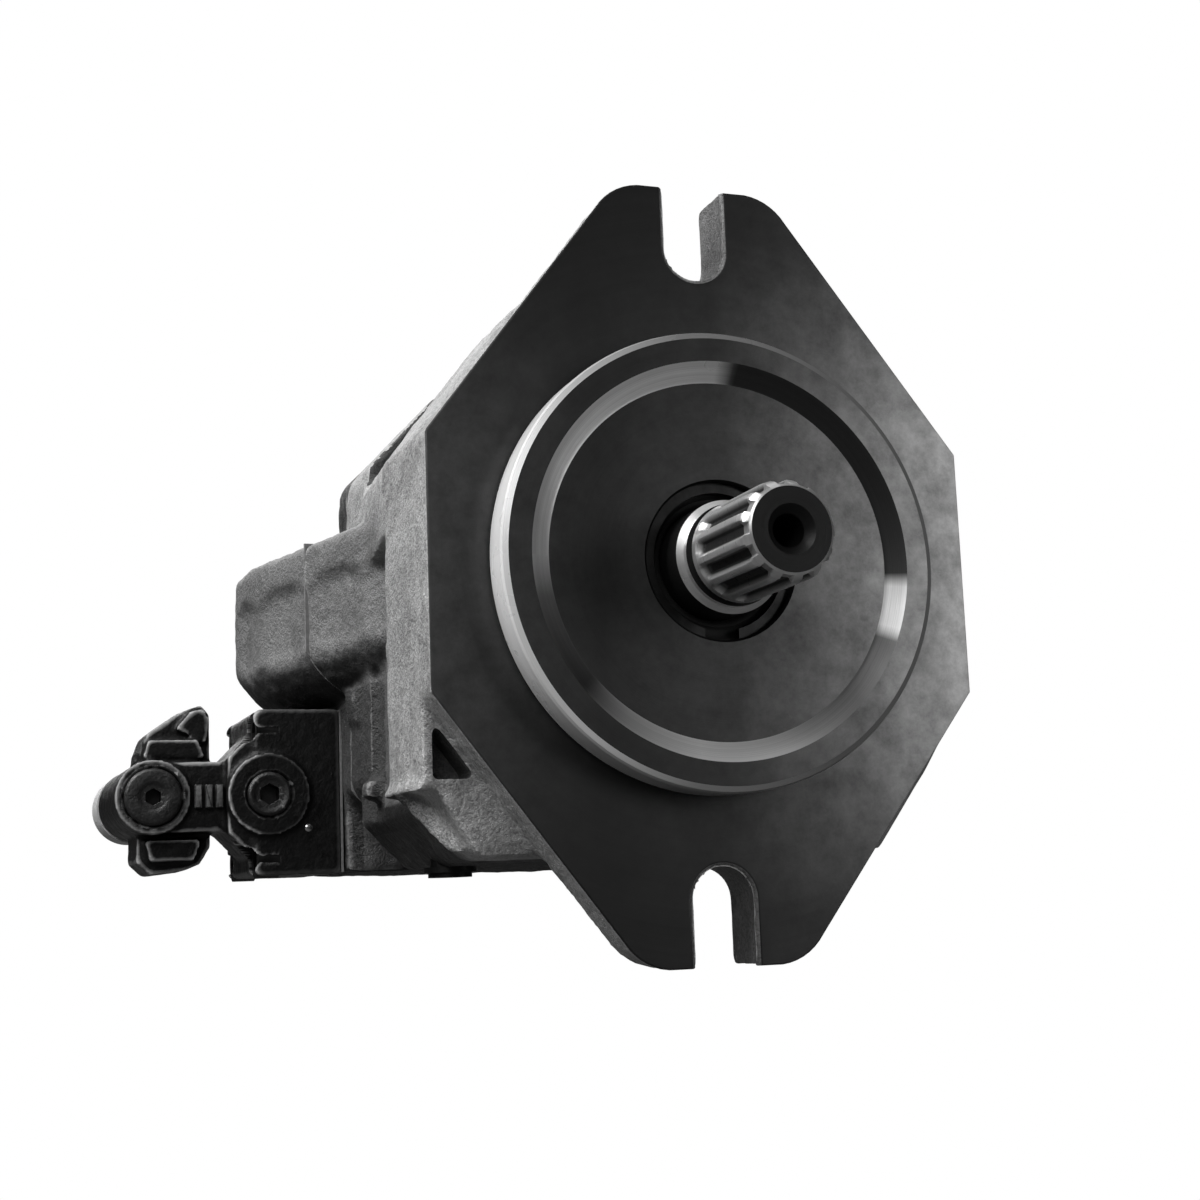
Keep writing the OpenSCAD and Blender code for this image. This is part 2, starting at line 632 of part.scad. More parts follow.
module valve_body() color([0.09, 0.09, 0.10]) difference() {
    union() {
        box([-79, valve_y0, -case_half_h], [-valve_x, valve_y1, -17.6]);
        ycyl(11.2, spool_front[0], spool_rear[0], spool_x[0], spool_z);
        ycyl(10, spool_front[1], spool_rear[1], spool_x[1], spool_z);
        box([spool_x[1], spool_front[1] + 1, spool_z - 9.6], [spool_x[0], 160, spool_z + 9.6]);
        box([-94, spool_front[1] - 0.5, spool_z - 3.3], [-86, spool_front[1] + 2, spool_z + 3.3]);
        // upper and lower chambers of the second stage
        yext(143, 166) polygon([[-107.5, -28], [-105.5, -23], [-97.5, -17.5], [-91, -15], [-88.5, -18],
            [-88.5, -54], [-91.5, -58.5], [-96, -60.2], [-104.5, -61.3], [-108.5, -57.5]]);
    }
    for (k = [0, 1]) {
        ycyl(plug_bore_r[k], spool_front[k] - 1, spool_front[k] + plug_l, spool_x[k], spool_z);
        ycyl(spool_r + spool_gap, spool_front[k], spool_rear[k] + 1, spool_x[k], spool_z);
        ycyl(chamber_r, spool_front[k] + spool_start + spool_len - 2, spool_rear[k] + 1, spool_x[k], spool_z);
    }
    // mounting screws, sunk in the outer side
    for (y = screw_y, z = screw_z) {
        xcyl(3.4, -80, -valve_x + 1, y, z);
        xcyl(5.4, -80, -72, y, z);
    }
    // cross passages
    xcyl(1.8, -76, -valve_x + 1, 152, -55.6);
    xcyl(2.2, -66, -valve_x + 1, 148, -24);
    xcyl(2, spool_x[1], spool_x[0], 150, spool_z);
}

module valve_screws() color([0.16, 0.16, 0.17]) for (y = screw_y, z = screw_z) difference() {
    union() {
        xcyl(3 - fit_gap, -72.1, -44, y, z);
        xcyl(5, -78, -72 - fit_gap, y, z);
    }
    translate([-79, y, z]) rotate([0, 90, 0]) rotate([0, 0, 30]) linear_extrude(4) hex(5);
}

module valve_plug(k) difference() {
    ycyl(plug_bore_r[k] - fit_gap, spool_front[k] - 0.6, spool_front[k] + plug_l - 0.5, spool_x[k], spool_z);
    yext(spool_front[k] - 1, spool_front[k] + 3.5) translate([spool_x[k], spool_z]) hex(k == 0 ? 5 : 6);
}

module valve_plugs() color([0.13, 0.13, 0.14]) for (k = [0, 1]) valve_plug(k);

module valve_caps() color([0.16, 0.16, 0.17]) for (k = [0, 1]) difference() {
    union() {
        ycyl(10.2, spool_rear[k] + fit_gap, spool_rear[k] + cap_l, spool_x[k], spool_z);
        ycyl(chamber_r - fit_gap, spool_rear[k] - 4, spool_rear[k] + 1, spool_x[k], spool_z);
    }
    ycyl(5.9, spool_rear[k] - 5, spool_rear[k] + cap_l - 4, spool_x[k], spool_z);
    ycyl(adjust_r + 0.06, spool_rear[k], spool_rear[k] + cap_l + 1, spool_x[k], spool_z);
}

module lock_nuts() color([0.45, 0.45, 0.47]) for (k = [0, 1]) difference() {
    yext(spool_rear[k] + cap_l + fit_gap, spool_rear[k] + cap_l + nut_h)
        translate([spool_x[k], spool_z]) hex(13);
    ycyl(adjust_r + 0.06, spool_rear[k], spool_rear[k] + 40, spool_x[k], spool_z);
}

// Valve spool with two control lands and a spring button
module spool(k) {
    y0 = spool_front[k] + spool_start;
    yturn(spool_x[k], spool_z) polygon([[0, y0], [spool_r - 0.5, y0], [spool_r, y0 + 0.5], [spool_r, y0 + 7],
        [2.4, y0 + 7], [2.4, y0 + 13], [spool_r, y0 + 13], [spool_r, y0 + spool_len - 1],
        [2, y0 + spool_len - 1],
        [2, y0 + spool_len], [5.5, y0 + spool_len], [5.5, y0 + spool_len + 2], [0, y0 + spool_len + 2]]);
}

function seat_y(k) = spool_rear[k] + cap_l - 4 - seat_t - 0.2;

module spool_spring(k)
    coil(4.4, 0.85, spool_front[k] + spool_start + spool_len + 2.05, seat_y(k) - 0.05, 4,
        spool_x[k], spool_z);

module spring_seat(k) yturn(spool_x[k], spool_z) polygon([
    [0, seat_y(k)], [5.7, seat_y(k)], [5.7, seat_y(k) + 2], [4, seat_y(k) + seat_t],
    [0, seat_y(k) + seat_t]]);

module adjust_screw(k) difference() {
    ycyl(adjust_r, seat_y(k) + seat_t + 0.02, spool_rear[k] + cap_l + 16, spool_x[k], spool_z);
    yext(spool_rear[k] + cap_l + 12, spool_rear[k] + cap_l + 17) translate([spool_x[k], spool_z]) hex(4);
}

module pressure_spool() color([0.72, 0.73, 0.75]) spool(0);
module flow_spool() color([0.72, 0.73, 0.75]) spool(1);
module pressure_spring() color([0.35, 0.35, 0.37]) spool_spring(0);
module flow_spring() color([0.35, 0.35, 0.37]) spool_spring(1);
module pressure_seat() color([0.55, 0.55, 0.57]) spring_seat(0);
module flow_seat() color([0.55, 0.55, 0.57]) spring_seat(1);
module pressure_screw() color([0.45, 0.45, 0.47]) adjust_screw(0);
module flow_screw() color([0.45, 0.45, 0.47]) adjust_screw(1);

module drain_plug() color([0.18, 0.18, 0.19]) translate([plug_x, plug_y, -case_half_h]) difference() {
    union() {
        translate([0, 0, -1]) cylinder(r = plug_r - fit_gap, h = 10);
        translate([0, 0, -1.4]) cylinder(r = 6.6, h = 1.4 - fit_gap);
        translate([0, 0, -2.6]) cylinder(r = 5.5, h = 1.3);
    }
    translate([0, 0, -4]) linear_extrude(5) hex(5);
}

housing();
port_block();
case_gasket();
tie_bolts();
valve_plate();
shaft_seal();
seal_ring();
front_bearing_cup();
front_bearing_rollers();
front_bearing_cone();
rear_bearing_cup();
rear_bearing_rollers();
rear_bearing_cone();
cradle_shells();
swash_plate();
retainer_plate();
retainer_hub();
cylinder_block();
block_spring();
spring_washers();
snap_ring();
hub_pins();
drive_shaft();
piston(0);  // piston_1
piston(1);  // piston_2
piston(2);  // piston_3
piston(3);  // piston_4
piston(4);  // piston_5
piston(5);  // piston_6
piston(6);  // piston_7
piston(7);  // piston_8
piston(8);  // piston_9
slipper(0);  // slipper_1
slipper(1);  // slipper_2
slipper(2);  // slipper_3
slipper(3);  // slipper_4
slipper(4);  // slipper_5
slipper(5);  // slipper_6
slipper(6);  // slipper_7
slipper(7);  // slipper_8
slipper(8);  // slipper_9
control_piston();
bias_piston();
bias_spring();
valve_body();
valve_gasket();
valve_screws();
valve_plugs();
valve_caps();
lock_nuts();
pressure_spool();
flow_spool();
pressure_spring();
flow_spring();
pressure_seat();
flow_seat();
pressure_screw();
flow_screw();
drain_plug();
cover_plate();
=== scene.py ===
import json
import math

import bmesh
import bpy
from mathutils import Matrix, Vector


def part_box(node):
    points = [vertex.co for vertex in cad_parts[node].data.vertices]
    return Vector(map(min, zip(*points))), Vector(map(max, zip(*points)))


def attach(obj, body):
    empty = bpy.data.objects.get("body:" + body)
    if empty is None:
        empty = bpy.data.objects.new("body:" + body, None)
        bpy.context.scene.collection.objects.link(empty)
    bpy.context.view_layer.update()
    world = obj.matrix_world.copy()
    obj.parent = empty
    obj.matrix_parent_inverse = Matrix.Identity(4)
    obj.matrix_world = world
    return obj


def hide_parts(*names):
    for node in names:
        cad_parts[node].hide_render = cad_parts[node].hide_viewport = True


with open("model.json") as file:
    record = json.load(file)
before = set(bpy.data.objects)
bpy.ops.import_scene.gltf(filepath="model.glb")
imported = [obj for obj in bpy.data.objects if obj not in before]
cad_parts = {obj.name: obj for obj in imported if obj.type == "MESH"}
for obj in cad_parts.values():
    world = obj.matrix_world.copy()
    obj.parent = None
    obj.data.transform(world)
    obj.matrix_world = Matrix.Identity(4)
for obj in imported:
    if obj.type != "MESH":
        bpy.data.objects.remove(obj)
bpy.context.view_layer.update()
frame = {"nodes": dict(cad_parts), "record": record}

# Hydraulic motor: cast case with a dark machined flange, splined shaft, port block and black control valve.
# Sizes below are in millimetres in the CAD frame; MM turns them into metres.

MM = 0.001


def cad(node):
    lo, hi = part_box(node)
    return Vector(lo) / MM, Vector(hi) / MM


HOUSING, PORTS, VALVE = cad("housing"), cad("port_block"), cad("valve_body")
FLANGE_W, FLANGE_H = 64, HOUSING[1].z
PILOT_Y, CASE_END = HOUSING[0].y, HOUSING[1].y
PORT_Y0, PORT_Y1, WING_X = PORTS[0].y, PORTS[1].y, PORTS[1].x
CASE_H = PORTS[1].z
MOUNT = {m["name"]: m for m in frame["record"]["mounts"]}
PILOT_R = MOUNT["pilot"]["dims"]["r_mm"]
BOLT_Z = MOUNT["flange_slots"]["dims"]["spacing_y_mm"] / 2
SLOT_R = MOUNT["flange_slots"]["dims"]["hole_r_mm"]
PORT_R = MOUNT["port_b"]["dims"]["r_mm"]
PORT_C = (MOUNT["port_b"]["pos_m"][0] / MM, MOUNT["port_b"]["pos_m"][2] / MM)
SHAFT_TIP, SHAFT_REAR = (v.y for v in cad("drive_shaft"))
SPOOL_Z = (cad("valve_plugs")[0].z + cad("valve_plugs")[1].z) / 2
FLANGE_T = 13                      # thickness of the mounting flange
RECESS_R, RECESS_FLOOR_R, RECESS_Y = 43.7, 40.5, PILOT_Y + 2.4
SEAL_R = 17.5                      # bore round the shaft seal
BEARING_BORE = 26
SWASH_Y, CRADLE_R = 46, 24         # tilt axis of the swash plate and its round back
TIE, TIE_SEAT = (38, 45), 130      # tie bolts from the axis, and the seat of the two short ones
COVER_R, COVER_SCREW = 18, 12      # cover plate and its screws from the axis
FILL_PLUG, GAUGE_PORT = (30, 78), (-38, 84)   # bosses in the top and the bottom, as (x, y)
TEETH, TOOTH_TIP, TOOTH_ROOT = 13, 10.9, 9.45
VALVE_SCREW_Y, VALVE_SCREW_Z = (135.5, 173), (-23.5, -58)
COLLAR_R, JOURNAL_R, REAR_JOURNAL_R = 11.2, 12.5, 11.5


# ---------- materials ----------

class Nodes:
    """A small builder for procedural materials."""

    def __init__(self, name, rough=0.5, metal=0.0, coat=0.0, shine=0.5):
        self.m = bpy.data.materials.new(name)
        self.m.use_nodes = True
        self.t = self.m.node_tree
        self.p = self.t.nodes["Principled BSDF"]
        self.p.inputs["Roughness"].default_value = rough
        self.p.inputs["Metallic"].default_value = metal
        self.p.inputs["Coat Weight"].default_value = coat
        self.p.inputs["Coat Roughness"].default_value = 0.25
        self.p.inputs["Specular IOR Level"].default_value = shine
        coords = self.t.nodes.new("ShaderNodeTexCoord")
        self.co, self.normal = coords.outputs["Object"], coords.outputs["Normal"]

    def link(self, a, b):
        self.t.links.new(a, b)

    def noise(self, scale, detail=4.0, rough=0.6, vec=None):
        n = self.t.nodes.new("ShaderNodeTexNoise")
        n.inputs["Scale"].default_value = scale
        n.inputs["Detail"].default_value = detail
        n.inputs["Roughness"].default_value = rough
        self.link(vec or self.co, n.inputs["Vector"])
        return n.outputs["Fac"]

    def cells(self, scale):
        n = self.t.nodes.new("ShaderNodeTexVoronoi")
        n.inputs["Scale"].default_value = scale
        self.link(self.co, n.inputs["Vector"])
        return n.outputs["Distance"]

    def ramp(self, fac, stops):
        n = self.t.nodes.new("ShaderNodeValToRGB")
        e = n.color_ramp.elements
        while len(e) < len(stops):
            e.new(0.5)
        for k, (pos, c) in enumerate(stops):
            e[k].position = pos
            e[k].color = (*(c if isinstance(c, tuple) else (c, c, c)), 1)
        self.link(fac, n.inputs["Fac"])
        return n.outputs["Color"]

    def math(self, op, a, b=None):
        n = self.t.nodes.new("ShaderNodeMath")
        n.operation = op
        for k, v in enumerate((a, b)):
            if v is None:
                continue
            if isinstance(v, (int, float)):
                n.inputs[k].default_value = v
            else:
                self.link(v, n.inputs[k])
        return n.outputs[0]

    def mix(self, fac, a, b, kind="MIX"):
        n = self.t.nodes.new("ShaderNodeMix")
        n.data_type = "RGBA"
        n.blend_type = kind
        for key, v in ((0, fac), (6, a), (7, b)):
            if isinstance(v, (int, float)):
                n.inputs[key].default_value = v if key == 0 else (v, v, v, 1)
            elif isinstance(v, tuple):
                n.inputs[key].default_value = (*v, 1)
            else:
                self.link(v, n.inputs[key])
        return n.outputs[2]

    def axis_coords(self):
        """Radius round the shaft axis, angle, and Y, for turned surfaces."""
        x, y, z = self.xyz()
        r = self.math("SQRT", self.math("ADD", self.math("MULTIPLY", x, x), self.math("MULTIPLY", z, z)))
        return r, self.math("ARCTAN2", z, x), y

    def pack(self, x, y=0.0, z=0.0):
        c = self.t.nodes.new("ShaderNodeCombineXYZ")
        for k, v in enumerate((x, y, z)):
            if isinstance(v, (int, float)):
                c.inputs[k].default_value = v
            else:
                self.link(v, c.inputs[k])
        return c.outputs[0]

    def bump(self, height, strength=0.4, distance=0.0003, after=None):
        b = self.t.nodes.new("ShaderNodeBump")
        b.inputs["Strength"].default_value = strength
        b.inputs["Distance"].default_value = distance
        self.link(height, b.inputs["Height"])
        if after:
            self.link(after, b.inputs["Normal"])
        return b.outputs["Normal"]

    def done(self, color=None, rough=None, normal=None):
        if color is not None:
            self.link(color, self.p.inputs["Base Color"])
        if rough is not None:
            self.link(rough, self.p.inputs["Roughness"])
        if normal is not None:
            self.link(normal, self.p.inputs["Normal"])
        return self.m

    def times(self, first, *others):
        for v in others:
            first = self.math("MULTIPLY", first, v)
        return first

    def xyz(self, vec=None):
        s = self.t.nodes.new("ShaderNodeSeparateXYZ")
        self.link(vec or self.co, s.inputs[0])
        return s.outputs

    def between(self, v, a, b):
        """0 below a and 1 above b, or the other way round when a > b."""
        return self.ramp(self.math("DIVIDE", self.math("SUBTRACT", v, min(a, b)), abs(b - a)),
                         [(0.0, float(a > b)), (1.0, float(a < b))])

    def edge_rub_and_highlight(self, color, edge, amount=1.0, lo=0.52, hi=0.60):
        """Edges lighter from the pointiness of the surface: partly rubbed, partly a painted highlight where
        edges catch the light.
        """
        g = self.t.nodes.new("ShaderNodeNewGeometry").outputs["Pointiness"]
        return self.mix(self.math("MULTIPLY", self.ramp(g, [(lo, 0.0), (hi, 1.0)]), amount), color, edge)


# where painted shade darkens the casting: each is a fade from the first place to the second, in metres
WING_TOP, WING_FRONT = (0.030, 0.022), (0.040, 0.066)
WING_FOOT, WAIST = (-0.011, -0.018), (0.048, 0.060)
UNDERSIDE, BEHIND_FLANGE = (-0.001, -0.004), (0.022, 0.034)
UNDER_LEDGE, BEHIND_LUG, CASE_BACK = (-0.0466, -0.0474), (0.022, 0.030), (0.094, 0.088)


def cast_material(name, dark, light, rough=0.55, metal=0.25, grain=1.0, edge=0.75, rub_and_highlight_amount=0.6,
                  edges=(0.52, 0.60), painted_shade_amount=0.0, shine=0.5, calm=None):
    """Sand-cast surface.

    painted_shade_amount darkens the wings, the case under them and the undersides as painted shade; calm is
    the x, in metres, where the rubbed edges and their painted highlight fade.
    """
    n = Nodes(name, rough, metal, 0.0, shine)
    big, mid, fine = n.noise(60, 3), n.noise(350, 5, 0.7), n.noise(1300, 3, 0.7)
    c = n.ramp(big, [(0.3, dark), (0.7, light)])
    c = n.mix(n.ramp(mid, [(0.42, 0.0), (0.72, 0.55)]), c, min(light * 1.35, 0.95))
    c = n.mix(n.ramp(fine, [(0.38, 0.5), (0.54, 0.0)]), c, dark * 0.4)
    x, y, z = n.xyz()
    # painted shade: darker on the wings and on the case under them
    if painted_shade_amount:
        wing = n.times(n.between(z, *WING_TOP), n.between(y, *WING_FRONT), painted_shade_amount)
        c = n.mix(wing, c, dark * 0.3)
        below_wing = n.times(n.between(z, *WING_FOOT), n.between(y, *WAIST), painted_shade_amount)
        c = n.mix(below_wing, c, dark * 0.2)
    if calm:
        rub_and_highlight_amount = n.math("MULTIPLY", n.math("MAXIMUM", n.between(x, calm + 0.004, calm), 0.25), rub_and_highlight_amount)
    # edges lighter: partly rubbed, partly a painted highlight
    c = n.edge_rub_and_highlight(c, edge, rub_and_highlight_amount, *edges)
    # painted shade on surfaces that face down and on the chamfer under the ledge
    if painted_shade_amount:
        facing_down = n.between(n.xyz(n.normal)[2], -0.15, -0.7)
        underside = n.times(facing_down, n.between(z, *UNDERSIDE), n.between(y, *BEHIND_FLANGE))
        chamfer = n.times(n.between(z, *UNDER_LEDGE), n.between(y, *BEHIND_LUG), n.between(y, *CASE_BACK))
        c = n.mix(n.times(n.math("MAXIMUM", underside, chamfer), 0.94), c, dark * 0.03)
    h = n.bump(n.math("ADD", mid, n.math("MULTIPLY", fine, 0.8)), 0.9 * grain, 0.0007)
    h = n.bump(n.cells(420), 0.35 * grain, 0.0004, h)
    return n.done(c, n.ramp(mid, [(0.3, rough - 0.12), (0.7, rough + 0.15)]), h)


def turned_material(name, dark, light, rough, metal, groove=0.25, pitch=5200, stain=0.0, sides=None,
                    arcs=None, shine=0.5):
    """Turned surface round the shaft axis.

    sides = (left, right) is painted light on the left and right of the face, fading towards top and bottom;
    arcs are (degrees, level) stops round the axis that paint highlights on the metal.
    """
    n = Nodes(name, rough, metal, 0.0, shine)
    r, ang, y = n.axis_coords()
    rings = n.noise(1.0, 2, 0.7, n.pack(n.math("MULTIPLY", r, pitch), n.math("MULTIPLY", y, pitch), 0.0))
    wide = n.noise(1.0, 2, 0.5, n.pack(n.math("MULTIPLY", r, 420), n.math("MULTIPLY", ang, 0.5), 0.0))
    blot = n.noise(30, 4)
    c = n.ramp(n.math("ADD", n.math("MULTIPLY", rings, 0.45), n.math("MULTIPLY", wide, 0.55)),
               [(0.3, dark), (0.75, light)])
    c = n.mix(n.ramp(blot, [(0.4, 0.0), (0.75, stain)]), c, dark * 0.5)
    # painted light on the left and right of the face, fading towards top and bottom
    if sides:
        x, _, z = n.xyz()
        across = n.ramp(n.math("ADD", n.math("MULTIPLY", x, 7.8), 0.5),
                        [(0.02, sides[0]), (0.28, sides[0] * 0.2), (0.52, sides[1] * 0.08),
                         (0.74, sides[1] * 0.42), (1.0, sides[1])])
        ends = n.ramp(n.math("MULTIPLY", n.math("ABSOLUTE", z), 11), [(0.3, 1.0), (0.85, 0.12)])
        mottle = n.ramp(n.noise(110, 6, 0.75), [(0.32, 0.5), (0.68, 1.3)])
        c = n.mix(1.0, c, n.mix(1.0, n.mix(1.0, across, ends, "MULTIPLY"), mottle, "MULTIPLY"), "ADD")
    # painted highlights in arcs round the axis
    if arcs:
        turn = n.math("ADD", n.math("DIVIDE", ang, math.tau), 0.5)
        c = n.mix(1.0, c, n.ramp(turn, [((a + 180) / 360, v) for a, v in arcs]), "MULTIPLY")
    sheen = n.ramp(blot, [(0.3, max(rough - 0.07, 0.05)), (0.7, rough + 0.1)])
    return n.done(c, sheen, n.bump(rings, groove, 0.00008))


def spline_material(name, land, groove, tip, root):
    """Ground spline: bright on the lands, and dark down in the grooves as painted shade."""
    n = Nodes(name, 0.3, 0.75)
    r, ang, y = n.axis_coords()
    fine = n.noise(1.0, 3, 0.6, n.pack(n.math("MULTIPLY", y, 2500), n.math("MULTIPLY", ang, 2), 0.0))
    # painted shade: the grooves darker than the lands
    c = n.mix(n.between(r, root * MM, tip * MM), groove, n.ramp(fine, [(0.3, land * 0.85), (0.7, land)]))
    return n.done(c, n.ramp(fine, [(0.3, 0.26), (0.7, 0.36)]), n.bump(fine, 0.1, 0.00005))


def steel_material(name, dark, light, rough, scratch=0.2, metal=1.0):
    """Turned or ground steel or bronze, with fine lines round the axis."""
    n = Nodes(name, rough, metal)
    r, ang, y = n.axis_coords()
    lines = n.noise(1.0, 3, 0.7, n.pack(n.math("MULTIPLY", y, 3800), n.math("MULTIPLY", ang, 3),
                                        n.math("MULTIPLY", r, 60)))
    blot = n.noise(140, 4)
    c = n.ramp(n.math("ADD", n.math("MULTIPLY", lines, 0.4), n.math("MULTIPLY", blot, 0.6)),
               [(0.32, dark), (0.68, light)])
    return n.done(c, n.ramp(blot, [(0.3, rough), (0.75, rough + 0.14)]), n.bump(lines, scratch, 0.00006))


def soft_material(name, dark, light, rough, grain=900):
    """Rubber and gasket fibre."""
    n = Nodes(name, rough, 0.0)
    a = n.noise(grain, 3)
    sheen = n.ramp(n.noise(80, 3), [(0.3, rough - 0.08), (0.7, rough + 0.1)])
    return n.done(n.ramp(a, [(0.3, dark), (0.7, light)]), sheen, n.bump(a, 0.2, 0.0001))


# CAST and CAST_ROUGH carry painted shade on the wings, under them and on the undersides
CAST = cast_material("cast_metal", 0.27, 0.52, painted_shade_amount=0.62)
# near-black copy of the casting: painted shade
CAST_PAINTED_SHADE = cast_material("cast_metal_painted_shade", 0.02, 0.05, 0.5, 0.2, 0.8, 0.35, 0.4)
CAST_ROUGH = cast_material("cast_metal_rough", 0.18, 0.62, 0.6, 0.25, 1.9, 0.9, 0.6, painted_shade_amount=0.8)
# darker copy of the casting: painted shade on the bolt slot walls and in the pocket
CAST_SHADE = cast_material("cast_slot_wall", 0.10, 0.20, 0.5, 0.25, 0.6, 0.5, 0.0)
# the bright edges on the black valve and its bars are partly rubbed paint, partly painted highlight
BLACK_CAST = cast_material("black_painted_casting", 0.003, 0.008, 0.4, 0.0, 0.5, 0.6, 0.9, (0.512, 0.56),
                           shine=0.25, calm=-0.0790)
BLACK_BAR = cast_material("black_painted_bar", 0.008, 0.03, 0.35, 0.0, 0.5, 0.4, 0.35, (0.55, 0.62))
# the face carries painted light on its left and right
FACE = turned_material("dark_machined_face", 0.010, 0.020, 0.42, 0.35, 0.25, 5200, 0.4, (0.06, 0.60))
# the rim and the cone carry painted highlights in arcs round the axis
BARE = turned_material("bare_turned_rim", 0.80, 1.0, 0.3, 0.15, 0.5, 3000, 0.15, None,
                       [(-180, 1.0), (-130, 1.0), (-100, 0.4), (-60, 0.2), (100, 0.25), (130, 0.6),
                        (160, 1.0), (180, 1.0)])
CONE = turned_material("bare_recess_cone", 0.55, 0.95, 0.34, 0.5, 0.5, 3000, 0.2, None,
                       [(-180, 0.5), (-168, 0.16), (-140, 0.05), (-124, 0.5), (-100, 1.0), (-72, 0.7),
                        (-45, 0.3), (-24, 0.14), (-20, 1.0), (-7, 1.0), (-3, 0.04), (84, 0.04), (90, 1.0),
                        (120, 1.0), (152, 0.9), (170, 0.6), (180, 0.5)])
# near black: painted shade inside the bores and seats
BORE = turned_material("dark_bore", 0.002, 0.005, 0.5, 0.0, 0.3, shine=0.15)
SHAFT = steel_material("bright_shaft_steel", 0.55, 0.78, 0.27, 0.12, 0.8)
SPLINE = spline_material("splined_shaft_steel", 0.85, 0.07, 10.8, 9.8)
# near-black copy of the shaft steel: painted shade on the end face, in the centre hole and ring groove and
# inside the seal
SHAFT_END = turned_material("dark_shaft_end", 0.006, 0.014, 0.45, 0.2, 0.3, shine=0.3)
DARK_STEEL = steel_material("blackened_steel", 0.02, 0.06, 0.34, 0.2)
MACHINED = steel_material("machined_steel", 0.34, 0.56, 0.3, 0.3)
BEARING = steel_material("ground_steel", 0.55, 0.75, 0.16, 0.1)
SPRING = steel_material("spring_wire", 0.10, 0.24, 0.3, 0.15)
BRONZE = steel_material("turned_bronze", (0.40, 0.26, 0.10), (0.66, 0.46, 0.20), 0.3, 0.25)
RUBBER = soft_material("seal_rubber_black", 0.002, 0.006, 0.75)
GASKET = soft_material("gasket_fibre", 0.16, 0.26, 0.8)
BY_SLOT = {"cast_iron": CAST, "black_paint": BLACK_CAST, "shaft_steel": SHAFT, "dark_steel": DARK_STEEL,
           "machined_steel": MACHINED, "bearing_steel": BEARING, "spring_steel": SPRING, "bronze": BRONZE,
           "seal_rubber": RUBBER, "gasket": GASKET}


# ---------- mesh tools ----------

PUT = {"X": lambda u, w, t: (t, u, w), "Y": lambda u, w, t: (u, t, w), "Z": lambda u, w, t: (u, w, t)}


def circle_pts(r, n=64, c=(0, 0), a0=0.0, a1=360.0, ends=False):
    k = n if not ends else n - 1
    return [(c[0] + r * math.cos(math.radians(a0 + (a1 - a0) * i / k)),
             c[1] + r * math.sin(math.radians(a0 + (a1 - a0) * i / k))) for i in range(n)]


def rounded(pts, radii, n=6):
    """Polygon with rounded corners; radii is one number or one for each corner."""
    out, k = [], len(pts)
    for i, p in enumerate(pts):
        r = radii[i] if isinstance(radii, (list, tuple)) else radii
        p, a, b = Vector(p), Vector(pts[i - 1]), Vector(pts[(i + 1) % k])
        if r <= 0:
            out.append(tuple(p))
            continue
        u, v = (a - p).normalized(), (b - p).normalized()
        d = min(r / math.tan(u.angle(v) / 2), (a - p).length * 0.48, (b - p).length * 0.48)
        s, e = p + u * d, p + v * d
        for j in range(n + 1):
            t = j / n
            out.append(tuple(s * (1 - t) ** 2 + p * 2 * t * (1 - t) + e * t * t))
    return out


def prism(bm, pts, a, b, axis="Y", mat=0, pts_b=None):
    """Prism or loft between two outlines with the same number of points."""
    put = PUT[axis]
    lo = [bm.verts.new(Vector(put(*p, a)) * MM) for p in pts]
    hi = [bm.verts.new(Vector(put(*p, b)) * MM) for p in (pts_b or pts)]
    faces = [bm.faces.new(lo), bm.faces.new(hi)]
    k = len(lo)
    faces += [bm.faces.new((lo[i], lo[(i + 1) % k], hi[(i + 1) % k], hi[i])) for i in range(k)]
    for f in faces:
        f.material_index = mat
    return faces


def box(bm, a, b, mat=0):
    prism(bm, [(a[0], a[2]), (b[0], a[2]), (b[0], b[2]), (a[0], b[2])], a[1], b[1], "Y", mat)


def lathe(bm, profile, axis="Y", c=(0, 0), n=96, loop=False, mats=None):
    """Profile of (radius, position along the axis), turned about the axis through c."""
    put, rings = PUT[axis], []
    for r, t in profile:
        if r < 1e-6:
            rings.append([bm.verts.new(Vector(put(c[0], c[1], t)) * MM)])
        else:
            rings.append([bm.verts.new(Vector(put(*p, t)) * MM) for p in circle_pts(r, n, c)])
    spans = list(zip(rings, rings[1:] + ([rings[0]] if loop else [])))
    for k, (p, q) in enumerate(spans):
        if not loop and k == len(rings) - 1:
            break
        for i in range(n):
            j = (i + 1) % n
            if len(p) == 1 and len(q) == 1:
                continue
            if len(p) == 1:
                f = bm.faces.new((p[0], q[i], q[j]))
            elif len(q) == 1:
                f = bm.faces.new((p[i], p[j], q[0]))
            else:
                f = bm.faces.new((p[i], p[j], q[j], q[i]))
            f.material_index = mats[k] if mats else 0


def rod(bm, r, a, b, axis="Y", c=(0, 0), n=64, mat=0):
    prism(bm, circle_pts(r, n, c), a, b, axis, mat)


def solid(name, build, mats):
    bm = bmesh.new()
    build(bm)
    bmesh.ops.recalc_face_normals(bm, faces=bm.faces)
    me = bpy.data.meshes.new(name)
    bm.to_mesh(me)
    bm.free()
    for m in mats:
        me.materials.append(m)
    o = bpy.data.objects.new(name, me)
    bpy.context.collection.objects.link(o)
    return o


def bake(o):
    """Makes the modifiers permanent."""
    dg = bpy.context.evaluated_depsgraph_get()
    old, new = o.data, bpy.data.meshes.new_from_object(o.evaluated_get(dg), depsgraph=dg)
    o.modifiers.clear()
    o.data = new
    new.name = o.name
    bpy.data.meshes.remove(old)


